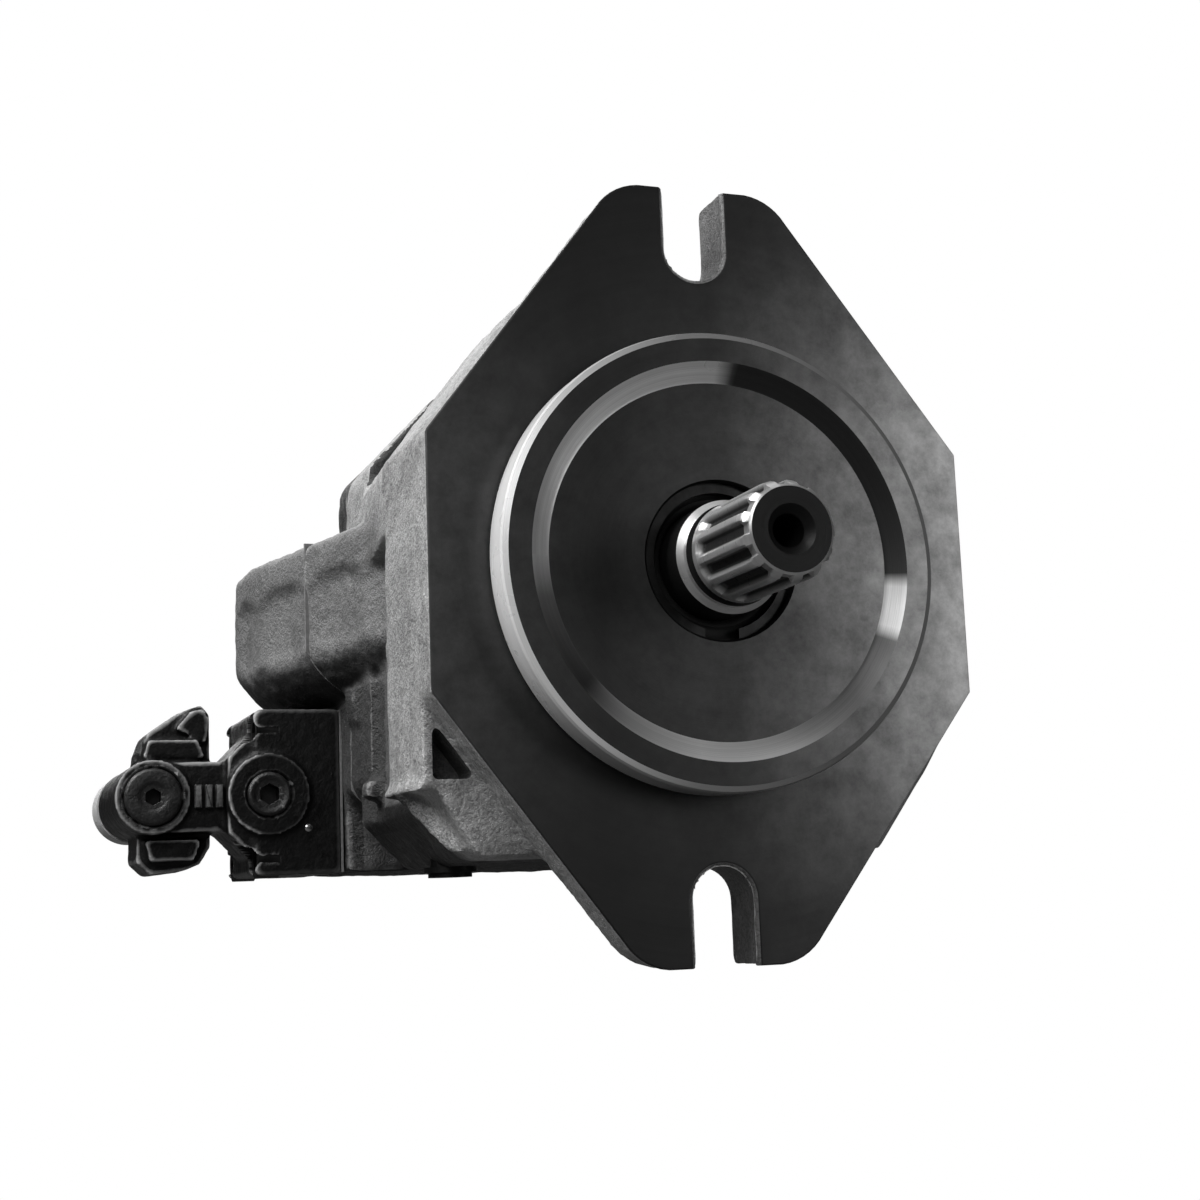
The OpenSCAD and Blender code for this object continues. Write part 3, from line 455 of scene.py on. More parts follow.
def boolean(o, other, op="DIFFERENCE"):
    m = o.modifiers.new("cut", "BOOLEAN")
    m.object, m.operation, m.solver = other, op, "EXACT"
    m.material_mode = "TRANSFER"
    bake(o)
    bpy.data.objects.remove(other)


def cutter(mats, *builds):
    """One cutter from several overlapping closed shapes."""
    first = solid("cutter", builds[0], mats)
    for b in builds[1:]:
        boolean(first, solid("cutter_b", b, mats), "UNION")
    return first


def melt(o, voxel, rounds, dent, size):
    """Joins overlapping shapes into one casting with natural fillets, and roughens it a little."""
    r = o.modifiers.new("melt", "REMESH")
    r.mode, r.voxel_size = "VOXEL", voxel * MM
    s = o.modifiers.new("fillet", "SMOOTH")
    s.factor, s.iterations = 0.5, rounds
    for amount, scale in ((dent, size), (dent * 1.6, size * 4)):
        if amount:
            tex = bpy.data.textures.new(o.name + "_dent", "CLOUDS")
            tex.noise_scale, tex.noise_depth = scale * MM, 3
            d = o.modifiers.new("dent", "DISPLACE")
            d.texture, d.strength, d.mid_level, d.texture_coords = tex, amount * MM, 0.5, "GLOBAL"
    bake(o)


def smooth(o, angle=35):
    for p in o.data.polygons:
        p.use_smooth = True
    m = o.modifiers.new("edges", "EDGE_SPLIT")
    m.split_angle = math.radians(angle)
    bake(o)


def bevel(o, width, segments=2, angle=35):
    m = o.modifiers.new("bevel", "BEVEL")
    m.width, m.segments, m.limit_method, m.angle_limit = width * MM, segments, "ANGLE", math.radians(angle)
    m.harden_normals = False
    bake(o)


def ship(o, body="case", stands_for=()):
    """Gives a piece its body and hides the CAD nodes it stands for."""
    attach(o, body)
    if stands_for:
        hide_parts(*stands_for)
    return o


def recolour(o, mat, test):
    """Gives the faces whose centre and normal pass the test another material."""
    names = [m.name for m in o.data.materials]
    if mat.name not in names:
        o.data.materials.append(mat)
        names.append(mat.name)
    k = names.index(mat.name)
    for p in o.data.polygons:
        if test(p.center / MM, p.normal):
            p.material_index = k


# ---------- outlines ----------

def flange_outline(inset=0.0):
    """Two long ends rounded at four corners, and straight sides."""
    w = FLANGE_W - inset
    tip = []
    for sx, sz, a0, a1 in ((1, 1, 33, 85), (-1, 1, 95, 147), (-1, -1, 213, 265), (1, -1, 275, 327)):
        tip.append(circle_pts(13.5 - inset, 8, (sx * 12, sz * (FLANGE_H - 13.5)), a0, a1, True))
    side = 28 - inset * 0.3
    return [(w, -side), (w, side)] + tip[0] + tip[1] + [(-w, side), (-w, -side)] + tip[2] + tip[3]


FRONT = [(63, -45), (61, -46.5), (51, -CASE_H), (-51, -CASE_H), (-61, -46.5), (-63, -45),
         (-63, 30), (-38, CASE_H), (38, CASE_H), (63, 30)]
BARREL = circle_pts(58, 14, (0, 0), 24, 156, True) + [(-53, -50), (-41, -CASE_H), (41, -CASE_H), (53, -50)]
REAR = rounded([(55, -41), (55, 41), (35, CASE_H), (-35, CASE_H), (-55, 41), (-55, -41), (-35, -CASE_H),
                (35, -CASE_H)], 7, 8)
LOWER = rounded([(55, -41), (55, 10), (42, 10), (42, 30), (34, 36), (28.5, 42), (28.5, CASE_H),
                 (-28.5, CASE_H), (-28.5, 42), (-34, 36), (-42, 30), (-42, 10), (-55, 10), (-55, -41),
                 (-35, -CASE_H), (35, -CASE_H)], 3, 5)


def along(y, pts):
    """Value at y on a broken line of (y, value) points."""
    for (a, u), (b, v) in zip(pts, pts[1:]):
        if y <= b:
            return u + (v - u) * max(0.0, y - a) / (b - a)
    return pts[-1][1]


def skin(bm, axis, sections, mat=0):
    """Skins (position, outline) sections with the same number of points, ends closed."""
    put = PUT[axis]
    rings = [[bm.verts.new(Vector(put(*p, t)) * MM) for p in pts] for t, pts in sections]
    k = len(rings[0])
    faces = [bm.faces.new(rings[0]), bm.faces.new(rings[-1])]
    for a, b in zip(rings, rings[1:]):
        faces += [bm.faces.new((a[i], a[(i + 1) % k], b[(i + 1) % k], b[i])) for i in range(k)]
    for f in faces:
        f.material_index = mat


# ---------- wings round the ports ----------

WING_PLAN = [(50, 50.5), (66, 54), (143, WING_X - 3), (158, WING_X), (PORT_Y1 - 9, WING_X),
             (PORT_Y1, WING_X - 7)]
FLUTE, FLUTE_START = 32, 86        # length of one flute along the wing, and where one of them starts


def wing_section(y, s):
    """Upper facet, a fluted middle facet and an underside that curls in."""
    x = along(y, WING_PLAN)
    ridge = abs(math.sin(math.pi * (y - FLUTE_START) / FLUTE)) ** 0.6
    fade = along(y, [(62, 0), (72, 1), (166, 1), (174, 0)])
    d, h = (0.6 + 1.6 * ridge) * fade, 3.4 * ridge * fade
    pts = [(40, 25.3), (x - 2.4, 25.5), (x - 1.0, 25.0), (x - 0.2, 23.6), (x, 21.4), (x, 13.2 + h),
           (x - d * 0.6, 12.0 + h), (x - d, 10.0 + h), (x - d, 4), (x - d, -1.5),
           (x - 0.5 * d - 0.3, -4.2), (x - 2.2, -7.2), (x - 5.5, -11.2), (x - 9.5, -14.3),
           (x - 14, -15.8), (x - 19, -16), (36, -16)]
    return [(s * a, b) for a, b in pts]


def wings(bm, a, b):
    """Both wings from y = a to y = b, with a section about every 1.2 mm."""
    for s in (-1, 1):
        n = max(2, int((b - a) / 1.2))
        skin(bm, "Y", [(a + (b - a) * i / n, wing_section(a + (b - a) * i / n, s)) for i in range(n + 1)])


def shoulders(bm):
    """Side walls that run back from the front block above the wings."""
    for s in (-1, 1):
        out = []
        for y in (40, 52, 64, 76, 88, 96):
            w, t = 63 - 7 * (y - 40) / 56, 30.6 + 0.075 * (y - 40)
            out.append((y, [(s * u, v) for u, v in ((30, 13.5), (w, 13.5), (w, t - 1.5), (w - 0.5, t),
                                                    (w - 4, t + 3.4), (w - 12, t + 5), (30, t + 5))]))
        skin(bm, "Y", out)


# ---------- case casting ----------

def case_shapes(bm):
    prism(bm, flange_outline(0.4), 0.6, FLANGE_T)
    rod(bm, 45, 0.6, FLANGE_T + 2)
    prism(bm, rounded(FRONT, [3, 0, 4, 4, 0, 3, 3, 9, 9, 3]), FLANGE_T - 1, 44)
    prism(bm, BARREL, 43, CASE_END - 1)
    prism(bm, REAR, 94.5, CASE_END + 3)
    wings(bm, 50, CASE_END + 3)
    shoulders(bm)
    prism(bm, rounded([(-13, 50), (13, 50), (13, CASE_H - 0.4), (-13, CASE_H - 0.4)], 3), 40, CASE_END - 3)
    rod(bm, 12, 30, 57.6, "Z", FILL_PLUG)
    # ledge under the left side wall and the rib that runs down its chamfer
    prism(bm, rounded([(-56, -47.6), (-64.0, -47.6), (-64.0, -45.7), (-56, -45.7)], 1.0), FLANGE_T - 1, 46)
    rib = []
    for t in (0, 0.2, 0.4, 0.6, 0.8, 1.0):
        x, y = -61 + 9 * t, 26 - 14 * t
        rib.append((-47 - 13.5 * t, [(x + 3, y), (x - 1.2, y + 3), (x - 4.2, y + 8), (x - 2.5, y + 10),
                                     (x + 3, y + 10)]))
    skin(bm, "Z", rib)
    for s in (-1, 1):
        # bump and hook on the edge of the rear joint flange
        bump = [(s * 50, -24), (s * 56.5, -24), (s * 57, -15.5), (s * 50, -13)]
        prism(bm, rounded(bump, 1.5), 106, CASE_END - 0.6)
        hook = [(s * 50, -46), (s * 57.3, -44.5), (s * 57.3, -40.5), (s * 50, -39)]
        prism(bm, rounded(hook, 1.2), 90, 97)


def case_cutters():
    """Swash chamber, piston bores, bearing seat, threaded bosses and tie bolt holes."""
    inner = [
        lambda bm: rod(bm, 45.5, 18, CASE_END + 2, n=96),
        lambda bm: box(bm, (-52, 18, -26), (52, 60, 26)),
        lambda bm: box(bm, (-13, 18, -58), (13, 60, 58)),
        lambda bm: rod(bm, 9, 59, CASE_END + 2, "Y", (0, 50)),
        lambda bm: rod(bm, 9, 59, CASE_END + 2, "Y", (0, -50)),
        lambda bm: rod(bm, BEARING_BORE, 7, 30),
        lambda bm: rod(bm, 42, -1, 6.9),
        lambda bm: rod(bm, 8.7, 41, 64, "Z", FILL_PLUG),
        lambda bm: rod(bm, 6, 20, 42, "Z", FILL_PLUG),
        lambda bm: rod(bm, 5, -66, -50, "Z", GAUGE_PORT),
        lambda bm: rod(bm, 3.5, -51, -20, "Z", GAUGE_PORT),
    ]
    for x in (-1, 1):
        for z in (-1, 1):
            inner.append(lambda bm, x=x, z=z: rod(bm, 6, 97, CASE_END + 2, "Y", (x * TIE[0], z * TIE[1])))
    return inner


def seat_shapes(bm):
    """Ring seat of the front bearing and the two curved seats of the swash cradle."""
    lathe(bm, [(BEARING_BORE, 6.5), (29.8, 6.5), (29.8, 22), (BEARING_BORE, 22)], loop=True)
    heights = (-12.3, -8, -4, 0, 4, 8, 12.3)
    curve = [(SWASH_Y - math.sqrt(CRADLE_R ** 2 - z * z), z) for z in heights]
    pts = [(17, -15), (25.4, -15)] + curve + [(25.4, 15), (17, 15)]
    for a in (-51.8, 32.2):
        prism(bm, pts, a, a + 19.6, "X")


def slot_outline(s, r):
    """Open U round the bolt hole, running out past the flange's end."""
    start = 180 if s > 0 else 0
    pts = circle_pts(r, 25, (0, s * BOLT_Z), start, start + 180, True)
    return pts + [(r * s, s * 100), (-r * s, s * 100)]


def slot_shape(s):
    return lambda bm: prism(bm, slot_outline(s, SLOT_R), -4, FLANGE_T + 4)


def slot_mouth(s):
    """Small chamfer round the slot in the mounting face."""
    wide, narrow = slot_outline(s, SLOT_R + 2.0), slot_outline(s, SLOT_R - 0.02)
    return lambda bm: prism(bm, wide, -1.2, 0.8, pts_b=narrow)


case_casting = solid("case_casting", case_shapes, [CAST])
melt(case_casting, 1.1, 5, 0.45, 3.0)
boolean(case_casting, cutter([BORE], *case_cutters()))
for s in (1, -1):
    boolean(case_casting, cutter([CAST_SHADE], slot_shape(s)))
boolean(case_casting, cutter([CAST], lambda bm: box(bm, (-90, CASE_END, -90), (90, CASE_END + 20, 90))))
# three-cornered pocket behind the flange, on the left
pocket = rounded([(-61.0, -32.6), (-61.0, -45.4), (-51.4, -45.4)], 1.4)
boolean(case_casting, cutter([CAST_SHADE], lambda bm: prism(bm, pocket, FLANGE_T - 3, FLANGE_T + 9)))


def corner(bm):
    """The front block's lower right corner, which falls back behind the flange."""
    skin(bm, "Y", [(y, [(x, -30), (x - 30.6, -70), (80, -70), (80, -30)])
                   for y, x in ((11, 68.2), (12.5, 68.5), (24, 75.5))])


boolean(case_casting, cutter([CAST], corner))
recolour(case_casting, CAST_ROUGH, lambda c, n: c.y > 88 and c.x < -50 and c.z < -15)
recolour(case_casting, CAST_ROUGH,
         lambda c, n: c.y < 40 and -62.5 < c.z < -46 and abs(c.x) > 62.6 + (c.z + 46) * 0.62)
# painted shade on the front face of the rear flange, above the wings
recolour(case_casting, CAST_PAINTED_SHADE, lambda c, n: 93 < c.y < 97.5 and c.z > 26 and n.y < -0.5)
smooth(case_casting)
ship(case_casting, stands_for=["housing"])

case_seats = solid("case_inner_seats", seat_shapes, [BORE])
smooth(case_seats)
ship(case_seats)


# ---------- machined flange face and pilot ----------

flange_face = solid("flange_machined_face", lambda bm: prism(bm, flange_outline(), 0, 1.6),
                    [FACE, CAST, CAST_SHADE])
boolean(flange_face, cutter([FACE], lambda bm: rod(bm, 47, -2, 4, n=128)))
for s in (1, -1):
    boolean(flange_face, cutter([CAST_SHADE], slot_shape(s)))
    boolean(flange_face, cutter([CAST_SHADE], slot_mouth(s)))
bevel(flange_face, 0.35, 2)
recolour(flange_face, CAST,
         lambda c, n: n.y > -0.35 and abs(c.x) + abs(c.z) > 60 and abs(c.x) > SLOT_R + 0.1)
smooth(flange_face, 30)
for f in flange_face.data.polygons:
    f.use_smooth = abs(f.normal.y) < 0.99
ship(flange_face)


def pilot_profile(bm):
    """Seal bore with its ring groove, recess floor, cone, rim and side wall, and the hidden back."""
    r, y = SEAL_R, RECESS_Y
    pts = [(r, 4), (r, y + 2.05), (r + 1.2, y + 2.05), (r + 1.2, y + 0.6), (r, y + 0.6), (r, y + 0.5),
           (r + 0.5, y), (24, y), (RECESS_FLOOR_R - 0.8, y), (RECESS_FLOOR_R, y - 0.3),
           (RECESS_R - 0.1, PILOT_Y + 0.35), (RECESS_R + 0.45, PILOT_Y), (PILOT_R - 1.5, PILOT_Y),
           (PILOT_R - 0.35, PILOT_Y + 0.45), (PILOT_R, PILOT_Y + 1.2), (PILOT_R, -1.0),
           (PILOT_R - 0.7, -0.7), (PILOT_R - 0.7, 0.3), (47.1, 0.3), (47.1, 6.95), (15, 6.95), (15, 4)]
    # material of each stretch: 0 machined face, 1 dark bore, 2 bare rim, 3 bare cone
    marks = [1, 1, 1, 1, 1, 1, 0, 0, 3, 3, 3, 0, 2, 2, 2, 2, 0, 0, 0, 0, 1, 1]
    lathe(bm, pts, n=256, loop=True, mats=marks)


pilot = solid("pilot_and_seal_bore", pilot_profile, [FACE, BORE, BARE, CONE])
smooth(pilot, 20)
ship(pilot)


# ---------- shaft and seal ----------

def tooth_ring(teeth, tip, root, top=0.30, foot=0.60):
    """Outline of a splined shaft; top and foot are parts of one pitch."""
    mid = (tip + root) / 2 + 0.12
    side = [(-foot / 2 - 0.03, root), (-foot / 2 + 0.02, root + 0.18), (-top / 2 - 0.07, mid),
            (-top / 2, tip - 0.12), (-top / 2 + 0.035, tip)]
    tooth = [(-0.5, root)] + side + [(0, tip)] + [(-f, r) for f, r in reversed(side)]
    turned = [(r, math.radians((i + f) * 360 / teeth)) for i in range(teeth) for f, r in tooth]
    return [(r * math.cos(a), r * math.sin(a)) for r, a in turned]


def circle_like(pts, r):
    """Circle with one point for each point of an outline."""
    return [(p[0] * r / math.hypot(*p), p[1] * r / math.hypot(*p)) for p in pts]


def turned_down(pts, r):
    """Outline cut off at the radius r."""
    return [(p[0] * min(1, r / math.hypot(*p)), p[1] * min(1, r / math.hypot(*p))) for p in pts]


def shaft_shapes(bm):
    full = tooth_ring(TEETH, TOOTH_TIP, TOOTH_ROOT)
    fade = tooth_ring(TEETH, TOOTH_TIP, TOOTH_ROOT + 0.9)
    lead_in = [(0, 8.9), (0.3, 9.4), (1.6, 10.3), (2.6, 10.7)]
    steps = [(-18.4, TOOTH_TIP), (-16.6, TOOTH_TIP), (-16.3, 10.0), (-14.4, 10.0), (-14.1, COLLAR_R),
             (-12.6, COLLAR_R), (-11.6, JOURNAL_R), (23, JOURNAL_R), (23.4, REAR_JOURNAL_R),
             (59, REAR_JOURNAL_R)]
    skin(bm, "Y", [(SHAFT_TIP + t, turned_down(full, r)) for t, r in lead_in]
         + [(SHAFT_TIP + 5.0, full), (-21.0, full), (-19.4, fade)]
         + [(y, circle_like(full, r)) for y, r in steps])


def shaft_rear(bm):
    """Journal, the cylinder block's 18 teeth and the rear bearing seat."""
    ring = tooth_ring(18, 10.75, 9.1, 0.22, 0.6)
    front = [(58.9, circle_like(ring, REAR_JOURNAL_R)), (60.9, circle_like(ring, 9.1))]
    seat = ((81.1, 9.1), (85, 9), (SHAFT_REAR - 1, 9), (SHAFT_REAR, 8))
    skin(bm, "Y", front + [(61, ring), (81, ring)] + [(y, circle_like(ring, r)) for y, r in seat])


shaft = solid("drive_shaft_front", shaft_shapes, [SHAFT, SHAFT_END, SPLINE])
centre_hole = [(r, SHAFT_TIP + t) for r, t in ((0, -1), (5.6, -1), (5.3, 0), (3.5, 1.8), (3.5, 22), (0, 24))]
boolean(shaft, cutter([SHAFT_END], lambda bm: lathe(bm, centre_hole)))
recolour(shaft, SPLINE, lambda c, n: SHAFT_TIP + 3.4 < c.y < -18.6 and math.hypot(c.x, c.z) > 7)
# painted shade on the shaft inside the seal, in the ring groove and on the end face
recolour(shaft, SHAFT_END,
         lambda c, n: c.y > -12.0 or (-16.58 < c.y < -14.12 and math.hypot(c.x, c.z) < 10.95))
recolour(shaft, SHAFT_END, lambda c, n: c.y < SHAFT_TIP + 0.12 and n.y < -0.7)
smooth(shaft, 28)
ship(shaft, "shaft", ["drive_shaft"])
shaft_b = solid("drive_shaft_rear", shaft_rear, [SHAFT])
smooth(shaft_b, 28)
ship(shaft_b, "shaft")


def seal_profile(bm):
    """Case of the seal, its lip on the shaft and the garter groove."""
    lathe(bm, [(SEAL_R - 0.02, -3.9), (SEAL_R - 0.02, 4), (15.4, 4), (15.4, -1.2), (14.4, -1.4),
               (13.6, -0.7), (12.62, -0.8), (12.55, -1.5), (12.62, -2.2), (13.2, -3.0), (13.6, -3.4),
               (14.2, -3.5), (14.6, -3.1), (15.4, -3.0), (16.4, -3.3), (17.0, -3.9)], n=160, loop=True)


seal = solid("shaft_seal_lip", seal_profile, [RUBBER])
smooth(seal, 40)
ship(seal, stands_for=["shaft_seal"])


# ---------- port block ----------

def port_shapes(bm):
    prism(bm, REAR, PORT_Y0 - 3, TIE_SEAT - 0.3)
    prism(bm, LOWER, PORT_Y0 - 3, PORT_Y1 - 0.4)
    wings(bm, PORT_Y0 - 3, PORT_Y1 - 0.4)
    pad = [(-54.6, -CASE_H + 0.2), (-30, -CASE_H + 0.2), (-30, -15.5), (-54.6, -15.5)]
    prism(bm, rounded(pad, 1.5), 127, 181)


def port_cutters():
    """Bearing bore, control passages, cover seat, ports with their passages, bolt and screw holes."""
    out = [lambda bm: rod(bm, 16, 110, 138),
           lambda bm: rod(bm, 13, 110, 143),
           lambda bm: rod(bm, 7.53, 110, 158, "Y", (0, -50)),
           lambda bm: rod(bm, 4.03, 110, 158, "Y", (0, 50)),
           lambda bm: rod(bm, COVER_R, PORT_Y1 - 2, PORT_Y1 + 3)]
    for s in (-1, 1):
        c = (s * PORT_C[0], PORT_C[1])
        out += [lambda bm, c=c: rod(bm, PORT_R, PORT_Y1 - 32.5, 190, "Y", c),
                lambda bm, c=c: rod(bm, 20, PORT_Y1 - 0.9, 190, "Y", c),
                lambda bm, s=s: rod(bm, 9, 138, 151.5, "Y", (s * 36, PORT_C[1])),
                lambda bm, s=s: rod(bm, 9, 144, 156, "Y", (s * 39, PORT_C[1])),
                lambda bm, s=s: rod(bm, 2.5, PORT_Y1 - 12, PORT_Y1, "Y", (s * COVER_SCREW, 0))]
    for a0 in (-50, 130):
        def kidney(bm, a0=a0):
            outer = circle_pts(33, 20, (0, 0), a0, a0 + 100, True)
            inner = circle_pts(25, 20, (0, 0), a0 + 100, a0, True)
            prism(bm, outer + inner, 110, 153)
        out.append(kidney)
    for x in (-1, 1):
        for z in (-1, 1):
            out.append(lambda bm, x=x, z=z: rod(bm, 6.4, 110, 190, "Y", (x * TIE[0], z * TIE[1])))
    for y in VALVE_SCREW_Y:
        for z in VALVE_SCREW_Z:
            out.append(lambda bm, y=y, z=z: rod(bm, 3, -56, -43, "X", (y, z), 32))
    return out


port_casting = solid("port_block_casting", port_shapes, [CAST])
melt(port_casting, 1.1, 5, 0.5, 5.0)
boolean(port_casting, cutter([BORE], *port_cutters()))
boolean(port_casting, cutter([CAST], lambda bm: box(bm, (-90, PORT_Y0 - 20, -90), (90, PORT_Y0, 90))))
# painted shade on the upper part of the port block
recolour(port_casting, CAST_PAINTED_SHADE, lambda c, n: c.z > 27)
recolour(port_casting, CAST_ROUGH, lambda c, n: c.x < -50 and c.z < -18 and n.y < 0.3)
smooth(port_casting)
ship(port_casting, stands_for=["port_block"])


# ---------- control valve ----------

SPOOL_X = (-75, -105)
SPOOL_FRONT = (128.5, 133)
PLUG_R, PLUG_SOCKET = (5.88, 7.58), (2.9, 2.3)
VALVE_REAR = VALVE[1].y


def valve_shapes(bm):
    z0, z1 = VALVE[0].z + 0.2, -17.8
    prism(bm, rounded([(-78.8, z0), (-55.7, z0), (-55.7, z1), (-78.8, z1)], [2, 1, 1, 2.5]), 130.2, 177.8)
    rod(bm, 11.0, SPOOL_FRONT[0] + 0.2, VALVE_REAR - 2.2, "Y", (SPOOL_X[0], SPOOL_Z))
    rod(bm, 9.9, SPOOL_FRONT[1] + 0.2, VALVE_REAR - 0.2, "Y", (SPOOL_X[1], SPOOL_Z))
    box(bm, (-105, 134.6, SPOOL_Z - 9.3), (-76, 160, SPOOL_Z + 9.3))
    # flared roots of the arm
    for s in (-1, 1):
        prism(bm, [(-79.5, SPOOL_Z + s * 16), (-77, SPOOL_Z + s * 17), (-77, SPOOL_Z), (-86, SPOOL_Z),
                   (-85.5, SPOOL_Z + s * 10)], 131.2, 160)
    # stepped second-stage block above and below the arm
    prism(bm, rounded([(-107.3, -28), (-105.5, -23.2), (-97.5, -17.7), (-91, -15.2), (-88.7, -18),
                       (-88.7, -54), (-91.5, -58.5), (-96, -60.2), (-104.5, -61.1), (-108.3, -57.5)], 0.8),
          143.2, 165.8)
    prism(bm, rounded([(-107, -30), (-105.6, -25.2), (-92.5, -25.2), (-90.5, -30)], 0.6), 139.0, 150)
    prism(bm, rounded([(-106.5, -52), (-105, -57.6), (-93.5, -57.6), (-91.5, -52)], 0.6), 139.0, 150)
    prism(bm, rounded([(-98, -22), (-94, -17.2), (-90.5, -16.6), (-89, -20), (-90, -26)], 0.6), 140.8, 150)


def valve_detail(bm):
    """Three short bars on the arm between the two spool bores."""
    for x in (-93.2, -90.4, -87.6):
        bar = [(x - 0.95, SPOOL_Z - 3.1), (x + 0.95, SPOOL_Z - 3.1), (x + 0.95, SPOOL_Z + 3.1),
               (x - 0.95, SPOOL_Z + 3.1)]
        prism(bm, rounded(bar, 0.3), 132.7, 137)


def valve_cutters():
    """Three groups: plug seats with the screw clearances, spool bores, and spring bores with the screw
    heads.
    """
    seats, bores, springs = [], [], []
    for k in (0, 1):
        c, r, f = (SPOOL_X[k], SPOOL_Z), PLUG_R[k] + 0.07, SPOOL_FRONT[k]
        seat = [(0, f - 1), (r + 1.9, f - 1), (r + 0.7, f + 0.2), (r, f + 0.9), (r, f + 8), (0, f + 8)]
        seats.append(lambda bm, c=c, seat=seat: lathe(bm, seat, c=c, n=96))
        bores.append(lambda bm, c=c, f=f: rod(bm, 4.03, f + 7, 185, "Y", c, 48))
        springs.append(lambda bm, c=c, f=f: rod(bm, 6.6, f + 36, 185, "Y", c, 48))
    for y in VALVE_SCREW_Y:
        for z in VALVE_SCREW_Z:
            seats.append(lambda bm, y=y, z=z: rod(bm, 3.4, -80, -50, "X", (y, z), 32))
            springs.append(lambda bm, y=y, z=z: rod(bm, 5.4, -84, -72, "X", (y, z), 48))
    return seats, bores, springs


valve = solid("valve_body_casting", valve_shapes, [BLACK_CAST])
melt(valve, 0.65, 4, 0.16, 2.0)
for group in valve_cutters():
    boolean(valve, cutter([BLACK_CAST], *group))
smooth(valve)
ship(valve, stands_for=["valve_body"])
bars = solid("valve_arm_bars", valve_detail, [BLACK_BAR])
bevel(bars, 0.3, 2)
smooth(bars)
ship(bars)


def plug(k):
    """Socket plug at the front of a spool bore."""
    c, f, r, socket = (SPOOL_X[k], SPOOL_Z), SPOOL_FRONT[k] - 0.6, PLUG_R[k], PLUG_SOCKET[k]
    profile = [(0, f + 0.5), (socket + 1.0, f + 0.5), (socket + 1.5, f + 0.1), (socket + 2.1, f),
               (r - 0.7, f), (r, f + 0.7), (r, f + 7.9), (0, f + 7.9)]
    o = solid("valve_plug_%d" % (k + 1), lambda bm: lathe(bm, profile, c=c, n=96), [BLACK_BAR, DARK_STEEL])
    hexagon = circle_pts(socket, 6, c, 30, 390)
    boolean(o, cutter([DARK_STEEL], lambda bm: prism(bm, hexagon, f - 1, f + 4.2)))
    bevel(o, 0.15, 1)
    smooth(o, 30)
    return ship(o, stands_for=["valve_plugs"] if k == 0 else ())


plug(0)
plug(1)
ball = [(0, 129.9), (0.7, 129.95), (1.15, 130.3), (1.2, 132), (0, 132)]
pin = solid("valve_ball_plug", lambda bm: lathe(bm, ball, c=(-64.4, -49.9), n=32), [BEARING])
smooth(pin)
ship(pin)


# ---------- carried-over CAD nodes ----------

replaced = {"housing", "drive_shaft", "shaft_seal", "port_block", "valve_body", "valve_plugs"}
slot_of = {s["node"]: s["material_slot"] for s in frame["record"]["subparts"]}
for node, o in frame["nodes"].items():
    if node in replaced:
        continue
    mat = BY_SLOT[slot_of[node]]
    if not o.material_slots:
        continue
    for s in o.material_slots:
        s.material = mat
    if "spring" in node and "washer" not in node:
        continue
    e = o.modifiers.new("crisp", "BEVEL")
    e.width, e.segments, e.limit_method, e.angle_limit = 0.25 * MM, 2, "ANGLE", math.radians(40)


# ---------- stage, light and camera ----------

def floor_mat():
    """Pale floor that meets the white background without a visible horizon."""
    n = Nodes("pale_floor", 0.9)
    n.done(n.ramp(n.noise(3, 2), [(0.3, 0.06), (0.7, 0.08)]))
    glow = n.t.nodes.new("ShaderNodeEmission")
    glow.inputs["Strength"].default_value = 1.0
    path, mix = (n.t.nodes.new(k) for k in ("ShaderNodeLightPath", "ShaderNodeMixShader"))
    out = n.t.nodes["Material Output"]
    n.link(path.outputs["Is Camera Ray"], mix.inputs[0])
    n.link(n.p.outputs[0], mix.inputs[1])
    n.link(glow.outputs[0], mix.inputs[2])
    n.link(mix.outputs[0], out.inputs["Surface"])
    return n.m


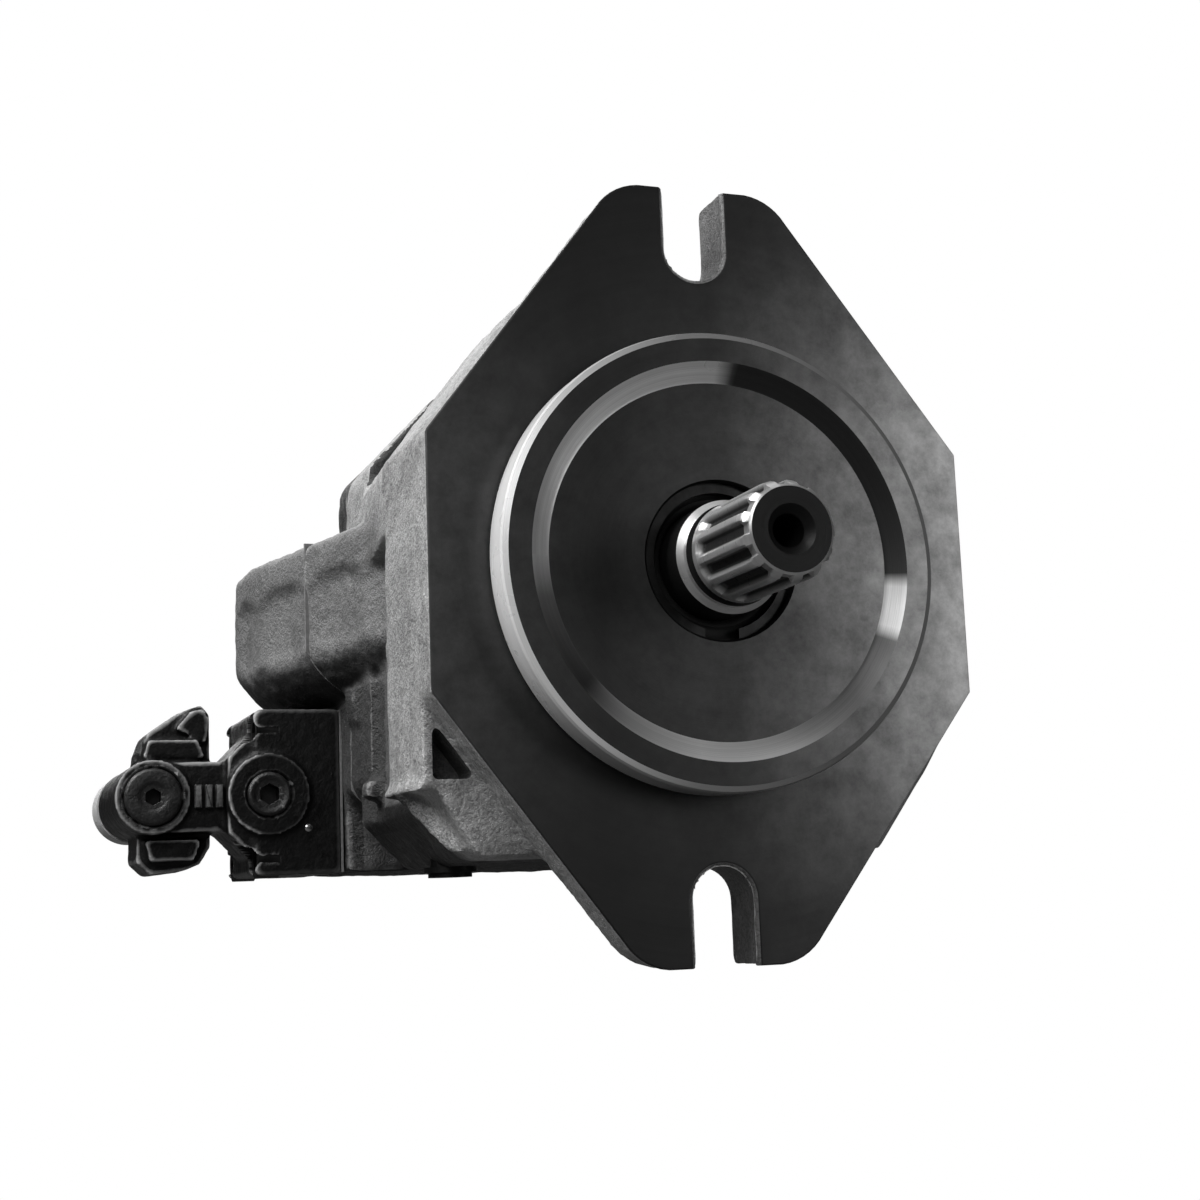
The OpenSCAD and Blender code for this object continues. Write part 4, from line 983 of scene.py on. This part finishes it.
def floor_sheet(bm):
    bm.faces.new([bm.verts.new((x, y, -0.150)) for x, y in ((-6, -6), (6, -6), (6, 6), (-6, 6))])


floor = solid("floor", floor_sheet, [floor_mat()])

world = bpy.data.worlds.new("studio")
bpy.context.scene.world = world
world.use_nodes = True
wt = world.node_tree
bg = wt.nodes["Background"]
bg.inputs["Color"].default_value = (1, 1, 1, 1)
path = wt.nodes.new("ShaderNodeLightPath")
mixer = wt.nodes.new("ShaderNodeMath")
mixer.operation = "MULTIPLY_ADD"
wt.links.new(path.outputs["Is Camera Ray"], mixer.inputs[0])
# white behind the object and faint light from all round it
mixer.inputs[1].default_value = 0.965
mixer.inputs[2].default_value = 0.035
wt.links.new(mixer.outputs[0], bg.inputs["Strength"])


def area(name, pos, size, power, target=(-20, 60, -10)):
    d = bpy.data.lights.new(name, "AREA")
    d.shape, d.size, d.size_y, d.energy = "RECTANGLE", size[0], size[1], power
    o = bpy.data.objects.new(name, d)
    bpy.context.collection.objects.link(o)
    o.location = Vector(pos) * MM
    o.rotation_mode = "QUATERNION"
    o.rotation_quaternion = (Vector(target) * MM - o.location).to_track_quat("-Z", "Y")


area("key_left", (-800, 0, 850), (0.5, 0.7), 17)
area("front_soft", (-650, -1000, 700), (0.7, 0.7), 5)
area("right_face", (1050, -1150, 60), (0.6, 0.9), 5)
area("top_soft", (0, 100, 1300), (1.2, 1.2), 3)
area("rear_soft", (300, 1500, 450), (1.0, 0.8), 9)

cam = bpy.data.cameras.new("camera")
camera = bpy.data.objects.new("camera", cam)
bpy.context.collection.objects.link(camera)
bpy.context.scene.camera = camera
cam.sensor_width, cam.lens = 36.0, 57.6
cam.clip_start, cam.clip_end = 0.01, 20
camera.location = Vector((-166.4, -385.4, -72.1)) * MM
forward, up = Vector((0.3383, 0.9283, 0.1543)), Vector((-0.0170, -0.1579, 0.9873))
right = forward.cross(up).normalized()
up = right.cross(forward).normalized()
camera.rotation_mode = "QUATERNION"
camera.rotation_quaternion = Matrix((right, up, -forward.normalized())).transposed().to_quaternion()

bpy.context.scene.view_settings.view_transform = "Standard"
